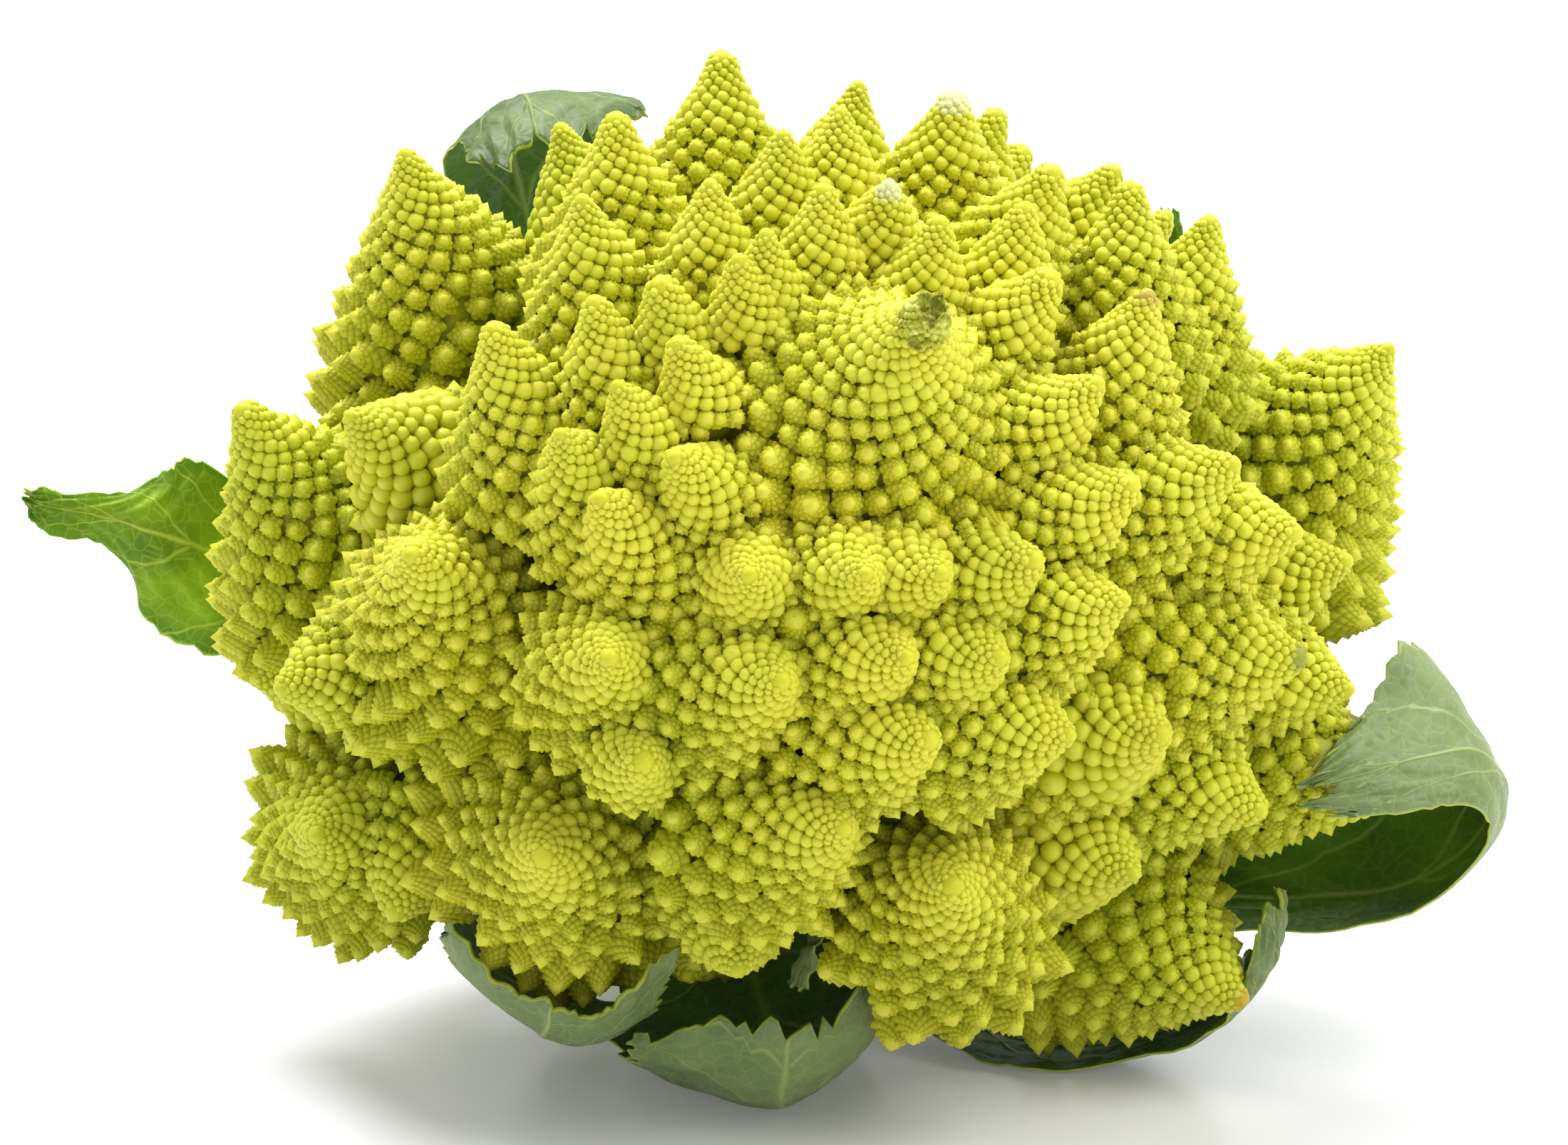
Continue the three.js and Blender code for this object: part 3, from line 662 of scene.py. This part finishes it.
def turned(shape, profile, segments, rise):
    """A surface turned round the crown's axis from radii and heights above the middle of the head."""
    side, other = square_to(CROWN_AXIS)
    angles = 2 * math.pi * np.arange(segments) / segments
    around = np.cos(angles)[:, None] * side + np.sin(angles)[:, None] * other
    points = np.concatenate([HEART + CROWN_AXIS * h + around * r for r, h in profile])
    triangles = []
    for level in range(len(profile) - 1):
        for k in range(segments):
            a, b = level * segments + k, level * segments + (k + 1) % segments
            triangles.extend([(a, a + segments, b), (b, a + segments, b + segments)])
    shape.add(points, np.array(triangles), np.full(len(points), rise), 0.5)


def leaf_finder():
    """A test of which points lie nearer to a leaf than their own size, and a point's distance to a leaf."""
    grids = [leaf_grid(net, *LEAF_SAMPLES).reshape(-1, 3) for net in (*LEAVES.values(), FRONT_CURL)]
    points = np.concatenate(grids)
    tree = KDTree(len(points))
    for i, point in enumerate(points):
        tree.insert(point, i)
    tree.balance()

    def leaf_distance(point):
        return tree.find(point)[2]

    def near_leaf(centres, sizes):
        share, besides = LEAF_CLEARANCE
        return np.array([leaf_distance(c) < share * s + besides for c, s in zip(centres, sizes)])

    return near_leaf, leaf_distance


def make_curd(material):
    crown = Floret(CROWN_PLACE, CROWN_AXIS, CROWN_WIDTH, CROWN_HEIGHT * CROWN_WIDTH)
    crown.swell, crown.roundness = CROWN_SWELL, CROWN_ROUNDNESS
    crown.room, crown.fill = CROWN_ROOM, CROWN_FILL
    crown.bare, crown.spread = CROWN_BARE_DROP, CROWN_SPREAD
    crown.broken = True
    front = []
    for across, up, width, rightward, upward in FRONT_FLORETS:
        axis = leaning(rightward, upward)
        tip = place(across, up, reach_toward(across, up))
        front.append(Floret(tip, axis, OVERLAP * width, floret_height(width, axis)))
    other = other_florets(front)
    florets = [crown, *front, *other]
    large = [each for each in front if each.width >= LARGE_FLORET]
    small = [each for each in front if each.width < LARGE_FLORET]
    groups = {
        "curd_crown": [crown],
        "curd_inner_a": small[0::2],
        "curd_inner_b": small[1::2],
        "curd_outer_a": large[0::3],
        "curd_outer_b": large[1::3],
        "curd_outer_c": large[2::3],
        "curd_back_a": other[0::2],
        "curd_back_b": other[1::2],
    }
    near_leaf, leaf_distance = leaf_finder()
    for each in other:
        if leaf_distance(each.tip) < LEAF_NEARNESS:
            each.tip = each.tip - DRAWN_BACK * each.axis
    pieces = []
    for name, members in groups.items():
        shape = Shape()
        for each in members:
            each.add_to(shape, florets, near_leaf)
        if name == "curd_crown":
            # The core under the florets is painted in the skin's deepest shade
            turned(shape, CORE, 40, 0.0)
        pieces.append(shape.build(name, material))
    return pieces


# Leaves and stalk

def catmull(points, samples):
    """Smooth points through a run of control points, evenly spaced between them."""
    points = np.asarray(points, dtype=float)
    padded = np.concatenate([[2 * points[0] - points[1]], points, [2 * points[-1] - points[-2]]])
    result = []
    for t in np.linspace(0, len(points) - 1, samples):
        i = min(int(t), len(points) - 2)
        f = t - i
        a, b, c, d = padded[i:i + 4]
        result.append(0.5 * (2 * b + (c - a) * f + (2 * a - 5 * b + 4 * c - d) * f ** 2
                             + (3 * b - a - 3 * c + d) * f ** 3))
    return np.array(result)


def leaf_grid(net, rows, columns):
    """A smooth grid of points through a leaf's net."""
    lines = [catmull([place(*row[column]) for row in net], rows) for column in range(len(net[0]))]
    return np.array([catmull([line[i] for line in lines], columns) for i in range(rows)])


def teeth(local, positions, count, depth):
    """A ragged edge: how far it is cut in at each position from 0 to 1, in teeth of uneven widths."""
    borders = np.sort(local.uniform(0, 1, count - 1))
    borders = np.concatenate([[0], 0.5 * borders + 0.5 * np.linspace(0, 1, count + 1)[1:-1], [1]])
    tooth = np.clip(np.searchsorted(borders, positions, side="right") - 1, 0, count - 1)
    along = (positions - borders[tooth]) / (borders[tooth + 1] - borders[tooth])
    deep = local.uniform(0.25, 1, count)[tooth]
    lobes = 0.5 * np.sin(2 * math.pi * (LOBE_COUNT * positions + local.uniform())) + 0.5
    return depth * (TOOTH_SHARE * deep * (1 - along) ** TOOTH_CURVE + LOBE_SHARE * lobes)


def ragged(grid, seed, depth):
    """The grid with its outer edges cut in, which leaves the middle of the leaf as it is."""
    local = np.random.default_rng(seed)
    rows, columns = grid.shape[:2]
    u = np.linspace(0, 1, rows)[:, None]
    v = np.linspace(-1, 1, columns)[None]
    left, right = (teeth(local, u[:, 0], SIDE_TEETH, depth)[:, None] for _ in range(2))
    end = teeth(local, (v[0] + 1) / 2, END_TEETH, END_DEPTH * depth)[None]
    side = np.where(v < 0, left, right) * np.abs(v) ** 5 * np.clip(3 * u, 0, 1)
    i = (rows - 1) * u * (1 - end * u ** 7)
    j = (columns - 1) * (v * (1 - side) + 1) / 2
    i, j = np.broadcast_arrays(i, j)
    i0, j0 = np.minimum(i.astype(int), rows - 2), np.minimum(j.astype(int), columns - 2)
    f, g = (i - i0)[..., None], (j - j0)[..., None]
    return ((1 - f) * (1 - g) * grid[i0, j0] + f * (1 - g) * grid[i0 + 1, j0]
            + (1 - f) * g * grid[i0, j0 + 1] + f * g * grid[i0 + 1, j0 + 1])


def ripple(rows, columns, seed):
    """A slow unevenness over a leaf, stronger at its edges."""
    local = np.random.default_rng(seed + 50)
    u = np.linspace(0, 1, rows)[:, None]
    v = np.linspace(-1, 1, columns)[None]
    waves = np.zeros((rows, columns))
    for k in range(1, WAVE_COUNT + 1):
        swing = 2 * math.pi * (k * WAVE_PITCH * u + local.uniform()) + 2 * v * local.normal()
        waves += local.normal() / k ** WAVE_FALL * np.sin(swing)
    frill = sum(height * np.sin(2 * math.pi * (pitch * v + local.uniform())) for pitch, height in FRILLS)
    return waves * (MIDDLE_WAVE + EDGE_WAVE * np.abs(v) ** 3 * u) + FRILL_HEIGHT * frill * u ** 9


def make_leaf(name, net, materials, seed, outer_side, rows=64, columns=46, thickness=0.7, depth=0.18):
    grid = leaf_grid(net, rows, columns)
    along, across = np.gradient(grid, axis=0), np.gradient(grid, axis=1)
    normal = unit(np.cross(along, across)) * outer_side
    u = np.linspace(0, 1, rows)[:, None]
    v = np.linspace(-1, 1, columns)[None]
    # Between its side veins the blade bulges out a little
    between = (u + VEIN_SWEEP * np.abs(v)) * SIDE_VEINS % 1
    quilting = np.sin(math.pi * between) * np.clip(1 - v ** 4, 0, 1)
    unevenness = RIPPLE_HEIGHT * ripple(rows, columns, seed) + QUILTING_HEIGHT * quilting
    grid = ragged(grid + normal * unevenness[..., None], seed, depth)
    rib = np.exp(-(v / RIB_WIDTH) ** 2) * (1 - RIB_TAPER * u)
    thin = thickness * (1 - EDGE_THINNING * np.abs(v) ** 6) * np.ones_like(u)
    outer = grid + normal * ((thin + RIB_HEIGHT * rib) / 2)[..., None]
    inner = grid - normal * (thin / 2)[..., None]
    points = np.concatenate([outer.reshape(-1, 3), inner.reshape(-1, 3)])
    points[:, 2] = np.maximum(points[:, 2], FLOOR_GAP)

    index = np.arange(rows * columns).reshape(rows, columns)
    a, b = index[:-1, :-1].ravel(), index[1:, :-1].ravel()
    c, d = index[1:, 1:].ravel(), index[:-1, 1:].ravel()
    face = np.stack([a, b, c, d] if outer_side > 0 else [a, d, c, b], axis=1)
    rim = np.concatenate([index[0, :-1], index[:-1, -1], index[-1, :0:-1], index[:0:-1, 0]])
    following = np.roll(rim, -1)
    wall = np.stack([rim, following, following + rows * columns, rim + rows * columns], axis=1)
    quads = np.concatenate([face, face[:, ::-1] + rows * columns, wall if outer_side > 0 else wall[:, ::-1]])
    slots = np.repeat([0, 1, 2], [len(face), len(face), len(wall)]).astype(np.int32)

    mesh = bpy.data.meshes.new(name)
    mesh.from_pydata((points * MM).tolist(), [], quads.tolist())
    mesh.polygons.foreach_set("use_smooth", np.ones(len(quads), dtype=bool))
    mesh.polygons.foreach_set("material_index", slots)
    for key, values in (("leaf_along", u + 0 * v), ("leaf_across", v + 0 * u)):
        layer = mesh.attributes.new(key, "FLOAT", "POINT")
        layer.data.foreach_set("value", np.tile(values.ravel(), 2).astype(np.float32))
    for material in materials:
        mesh.materials.append(material)
    mesh.update()
    mesh.validate()
    leaf = bpy.data.objects.new(name, mesh)
    bpy.context.scene.collection.objects.link(leaf)
    return leaf


def make_stalk(material):
    """The cut stalk: a round trunk with leaf scars and a slightly dished cut face."""
    shape = Shape()
    segments, levels = 72, 30
    side, other = square_to(CROWN_AXIS)
    angles = 2 * math.pi * np.arange(segments) / segments
    around = np.cos(angles)[:, None] * side + np.sin(angles)[:, None] * other
    rings, rises = [], []
    for level in range(levels):
        t = level / (levels - 1)
        height = -STALK_FROM - STALK_INSET + t * (STALK_FROM + STALK_INSET - STALK_TO + EDGE_ROUNDING)
        radius = STALK_RADII[0] + (STALK_RADII[1] - STALK_RADII[0]) * t - STALK_INSET
        flutes = (FLUTE_HEIGHT * np.sin(5 * angles + 3 * t)
                  + FINE_FLUTE_HEIGHT * np.sin(11 * angles - 5 * t))
        scars = -SCAR_DEPTH * np.exp(-((np.sin(2.5 * angles + 6 * t) - 1) / SCAR_WIDTH) ** 2)
        skin = radius - FLUTE_HEIGHT + flutes + scars
        rings.append(HEART + CROWN_AXIS * height + around * skin[:, None])
        rises.append(np.full(segments, 0.5))
    for share, dish in CUT_RINGS:
        rings.append(HEART - CROWN_AXIS * (STALK_TO - dish) + around * (STALK_RADII[1] - CUT_INSET) * share)
        rises.append(np.full(segments, 1.0 - 0.3 * share))
    points = np.concatenate(rings)
    triangles = []
    for level in range(len(rings) - 1):
        for k in range(segments):
            a, b = level * segments + k, level * segments + (k + 1) % segments
            triangles.extend([(a, a + segments, b), (b, a + segments, b + segments)])
    shape.add(points, np.array(triangles), np.concatenate(rises), 0.5)
    return shape.build("stalk_trunk", material)


# Materials

def new_material(name, roughness, specular=0.35, subsurface=0.0, radius=(1.0, 1.0, 0.2), scale=0.002):
    material = bpy.data.materials.new(name)
    material.use_nodes = True
    nodes = material.node_tree.nodes
    shader = nodes["Principled BSDF"]
    shader.inputs["Roughness"].default_value = roughness
    shader.inputs["Specular IOR Level"].default_value = specular
    shader.inputs["Subsurface Weight"].default_value = subsurface
    shader.inputs["Subsurface Radius"].default_value = radius
    shader.inputs["Subsurface Scale"].default_value = scale
    return material, material.node_tree, shader


def add_node(tree, kind, **settings):
    """A new node of a material with its settings made."""
    node = tree.nodes.new(kind)
    for key, value in settings.items():
        setattr(node, key, value)
    return node


def attribute(tree, name):
    return add_node(tree, "ShaderNodeAttribute", attribute_name=name).outputs["Fac"]


def ramp(tree, value, stops):
    node = add_node(tree, "ShaderNodeValToRGB")
    elements = node.color_ramp.elements
    while len(elements) < len(stops):
        elements.new(0.5)
    for element, (position, colour) in zip(elements, stops):
        element.position = position
        element.color = (*colour, 1)
    tree.links.new(value, node.inputs["Fac"])
    return node.outputs["Color"]


def mixed(tree, factor, first, second, blend="MIX"):
    node = add_node(tree, "ShaderNodeMix", data_type="RGBA", blend_type=blend)
    for socket, value in (("Factor_Float", factor), ("A_Color", first), ("B_Color", second)):
        target = next(s for s in node.inputs if s.identifier == socket)
        if isinstance(value, bpy.types.NodeSocket):
            tree.links.new(value, target)
        elif socket == "Factor_Float":
            target.default_value = value
        else:
            target.default_value = (*value, 1)
    return next(s for s in node.outputs if s.identifier == "Result_Color")


def maths(tree, operation, *values, clamp=False):
    node = add_node(tree, "ShaderNodeMath", operation=operation, use_clamp=clamp)
    for socket, value in zip(node.inputs, values):
        if isinstance(value, bpy.types.NodeSocket):
            tree.links.new(value, socket)
        else:
            socket.default_value = value
    return node.outputs[0]


def noise(tree, scale, detail=4.0, roughness=0.55):
    place_node = add_node(tree, "ShaderNodeTexCoord")
    node = add_node(tree, "ShaderNodeTexNoise")
    node.inputs["Scale"].default_value = scale
    node.inputs["Detail"].default_value = detail
    node.inputs["Roughness"].default_value = roughness
    tree.links.new(place_node.outputs["Object"], node.inputs["Vector"])
    return node.outputs["Fac"]


def spot(tree, centre, radius, softness, unevenness):
    """1 inside a ragged patch round a place on the part, in metres, and 0 outside it."""
    place_node = add_node(tree, "ShaderNodeTexCoord")
    away = add_node(tree, "ShaderNodeVectorMath", operation="DISTANCE")
    tree.links.new(place_node.outputs["Object"], away.inputs[0])
    away.inputs[1].default_value = centre
    uneven = maths(tree, "MULTIPLY_ADD", unevenness, radius, away.outputs["Value"])
    reach = maths(tree, "SUBTRACT", radius * 1.5, uneven)
    return maths(tree, "DIVIDE", reach, softness, clamp=True)


def bumped(tree, shader, height, strength, distance):
    node = add_node(tree, "ShaderNodeBump")
    node.inputs["Strength"].default_value = strength
    node.inputs["Distance"].default_value = distance
    tree.links.new(height, node.inputs["Height"])
    tree.links.new(node.outputs["Normal"], shader.inputs["Normal"])


def curd_material():
    material, tree, shader = new_material("curd_skin", 0.46, 0.28, 0.2, (1.0, 0.9, 0.12), 0.0018)
    # The skin's colour follows its painted shading: darker in the hollows between buds, lighter on their
    # tops
    body = ramp(tree, attribute(tree, "rise"), SKIN_BY_PAINTED_SHADING)
    oldness = maths(tree, "MULTIPLY", attribute(tree, "age"), AGED_STRENGTH)
    aged = mixed(tree, oldness, body, AGED_GREEN)
    cloudy = ramp(tree, noise(tree, 45.0), [(0.3, (0.86, 0.92, 0.8)), (0.7, (1.0, 1.0, 1.0))])
    tinted = mixed(tree, 1.0, aged, cloudy, "MULTIPLY")
    peaks = maths(tree, "SUBTRACT", noise(tree, 1900.0, 1.0), 0.7)
    specks = maths(tree, "MULTIPLY", peaks, 14.0, clamp=True)
    coloured = mixed(tree, maths(tree, "MULTIPLY", specks, SPECK_STRENGTH), tinted, SPECK_COLOUR)
    unevenness = noise(tree, 420.0, 6.0, 0.7)
    bruise_place = tuple((CROWN_PLACE - 1.5 * CROWN_AXIS) * MM)
    bruise = spot(tree, bruise_place, BRUISE_RADIUS, 0.0014, unevenness)
    bruise_colour = ramp(tree, unevenness, BRUISE_SHADES)
    coloured = mixed(tree, maths(tree, "MULTIPLY", bruise, 0.85), coloured, bruise_colour)
    for (across, up), radius, colour, strength in MARKS:
        mark_place = tuple(place(across, up, reach_toward(across, up)) * MM)
        mark = spot(tree, mark_place, radius, 0.0012, unevenness)
        coloured = mixed(tree, maths(tree, "MULTIPLY", mark, strength), coloured, colour)
    tree.links.new(coloured, shader.inputs["Base Color"])
    bumped(tree, shader, noise(tree, 900.0, 3.0), 0.25, 0.0004)
    return material


def vein_mask(tree):
    """1 on a leaf's midrib and side veins and 0 between them, from its own along and across values."""
    along, across = attribute(tree, "leaf_along"), attribute(tree, "leaf_across")
    drift = maths(tree, "SUBTRACT", noise(tree, 40.0, 2.0), 0.5)
    aside = maths(tree, "ABSOLUTE", maths(tree, "MULTIPLY_ADD", drift, 0.16, across))
    slimmer = maths(tree, "MULTIPLY_ADD", along, -0.045, 0.065)
    midrib = maths(tree, "SUBTRACT", 1.0, maths(tree, "DIVIDE", aside, slimmer), clamp=True)
    bent = maths(tree, "MULTIPLY_ADD", aside, -0.3, along)
    wander = maths(tree, "MULTIPLY_ADD", noise(tree, 90.0, 2.0), 0.06, bent)
    cycle = maths(tree, "PINGPONG", maths(tree, "MULTIPLY", wander, SIDE_VEINS), 1.0)
    width = maths(tree, "MULTIPLY_ADD", aside, -0.06, 0.11)
    side = maths(tree, "SUBTRACT", 1.0, maths(tree, "DIVIDE", cycle, width), clamp=True)
    return maths(tree, "MAXIMUM", maths(tree, "MULTIPLY", midrib, 0.75), maths(tree, "MULTIPLY", side, 0.55))


def leaf_material(name, deep, pale, vein, roughness, specular, subsurface, shade=0.0):
    """A leaf's face, with its midrib, side veins and fine net, and deeper at its tip and edges by shade."""
    material, tree, shader = new_material(name, roughness, specular, subsurface, (0.6, 1.0, 0.1), 0.002)
    blotches = ramp(tree, noise(tree, 60.0, 5.0), [(0.3, deep), (0.72, pale)])
    veins = vein_mask(tree)
    along = attribute(tree, "leaf_along")
    aside = maths(tree, "ABSOLUTE", attribute(tree, "leaf_across"))
    outwards = maths(tree, "MAXIMUM", maths(tree, "POWER", along, 3.0), maths(tree, "POWER", aside, 3.0))
    shaded = mixed(tree, maths(tree, "MULTIPLY", outwards, shade), blotches, deep)
    edge = maths(tree, "DIVIDE", maths(tree, "SUBTRACT", aside, 0.95), 0.05, clamp=True)
    lit = mixed(tree, maths(tree, "MULTIPLY", edge, 0.6), shaded, vein)
    fine = add_node(tree, "ShaderNodeTexVoronoi", feature="DISTANCE_TO_EDGE")
    fine.inputs["Scale"].default_value = 430.0
    tree.links.new(add_node(tree, "ShaderNodeTexCoord").outputs["Object"], fine.inputs["Vector"])
    net = maths(tree, "SUBTRACT", 0.2, maths(tree, "MULTIPLY", fine.outputs["Distance"], 3.0), clamp=True)
    netted = mixed(tree, net, lit, vein)
    tree.links.new(mixed(tree, veins, netted, vein), shader.inputs["Base Color"])
    relief = maths(tree, "MULTIPLY_ADD", veins, 0.8, maths(tree, "MULTIPLY", fine.outputs["Distance"], 0.6))
    bumped(tree, shader, relief, 0.5, 0.0009)
    return material


def stalk_material():
    material, tree, shader = new_material("stalk_flesh", 0.55, 0.35, 0.15, (0.8, 1.0, 0.3), 0.003)
    skin = ramp(tree, noise(tree, 70.0, 6.0), [(0.3, (0.42, 0.55, 0.16)), (0.7, (0.62, 0.70, 0.32))])
    cut = mixed(tree, attribute(tree, "rise"), skin, (0.80, 0.80, 0.56))
    tree.links.new(cut, shader.inputs["Base Color"])
    bumped(tree, shader, noise(tree, 260.0, 5.0), 0.4, 0.0008)
    return material


# Stage

def make_floor():
    """A plain glossy floor that is pale grey round the head as painted shadow and white further off, and
    glows as painted light, more further off.
    """
    bpy.ops.mesh.primitive_plane_add(size=FLOOR_SIZE, location=(0, 0, 0))
    floor = bpy.context.object
    floor.name = "floor"
    material, tree, shader = new_material("floor_white", 0.22, 0.5)
    away = add_node(tree, "ShaderNodeVectorMath", operation="LENGTH")
    tree.links.new(add_node(tree, "ShaderNodeTexCoord").outputs["Object"], away.inputs[0])
    past = maths(tree, "SUBTRACT", away.outputs["Value"], FLOOR_CHANGE[0])
    far = maths(tree, "DIVIDE", past, FLOOR_CHANGE[1], clamp=True)
    # Painted shadow: the floor's colour is greyer near the head
    tree.links.new(mixed(tree, far, FLOOR_NEAR_PAINTED_SHADE, FLOOR_FAR), shader.inputs["Base Color"])
    # Painted light: the floor glows, more further off
    shader.inputs["Emission Color"].default_value = (1, 1, 1, 1)
    glow = maths(tree, "MULTIPLY_ADD", far, FLOOR_PAINTED_GLOW[1], FLOOR_PAINTED_GLOW[0])
    tree.links.new(glow, shader.inputs["Emission Strength"])
    floor.data.materials.append(material)


def make_light(name, location, size, power):
    data = bpy.data.lights.new(name, "AREA")
    data.shape = "DISK"
    data.size = size
    data.energy = power
    light = bpy.data.objects.new(name, data)
    bpy.context.scene.collection.objects.link(light)
    light.location = location
    sight = Vector(LAMP_TARGET) - Vector(location)
    light.rotation_euler = sight.to_track_quat("-Z", "Y").to_euler()


def make_studio():
    world = bpy.context.scene.world or bpy.data.worlds.new("studio")
    bpy.context.scene.world = world
    world.use_nodes = True
    background = world.node_tree.nodes["Background"]
    background.inputs["Color"].default_value = (1, 1, 1, 1)
    background.inputs["Strength"].default_value = WORLD_STRENGTH
    for name, (location, size, power) in LAMPS.items():
        make_light(name, location, size, power)
    bpy.context.scene.view_settings.view_transform = "Standard"


def make_camera():
    data = bpy.data.cameras.new("camera")
    data.sensor_width = SENSOR_WIDTH
    data.lens = SENSOR_WIDTH * VIEW_DISTANCE / VIEW_WIDTH
    camera = bpy.data.objects.new("camera", data)
    bpy.context.scene.collection.objects.link(camera)
    axes = Matrix((RIGHT, UP, TOWARD)).transposed()
    camera.matrix_world = axes.to_4x4()
    middle = HEART + RIGHT * VIEW_MIDDLE[0] + UP * VIEW_MIDDLE[1]
    camera.location = Vector((middle + TOWARD * VIEW_DISTANCE) * MM)
    bpy.context.scene.camera = camera


# Putting it together

def attach(piece, node):
    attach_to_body(piece, "root")
    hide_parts(node)


make_camera()
make_studio()
make_floor()

curd_skin = curd_material()
for curd_piece in make_curd(curd_skin):
    attach(curd_piece, "curd")

attach(make_stalk(stalk_material()), "stalk")

faces = {name: leaf_material(name, *values) for name, values in LEAF_FACES.items()}
for seed, (leaf_name, leaf_net) in enumerate(LEAVES.items()):
    # The leaves at the back take the outside face in painted shade
    outside = faces["leaf_outside_painted_shade" if leaf_name in ("leaf_back", "leaf_back_right") else "leaf_outside"]
    # The left leaf's inside is painted light
    inside = faces["leaf_sunlit" if leaf_name == "leaf_left" else "leaf_inside"]
    skins = (outside, inside, faces["leaf_rim"])
    blade = make_leaf(leaf_name + "_blade", leaf_net, skins, seed, OUTER_SIDES[leaf_name])
    attach(blade, leaf_name)
curl_skins = (faces["leaf_outside"], faces["leaf_inside"], faces["leaf_rim"])
curl = make_leaf("leaf_front_curl", FRONT_CURL, curl_skins, seed=11, outer_side=1, rows=30, columns=12,
                 depth=0.1)
attach(curl, "leaf_front")
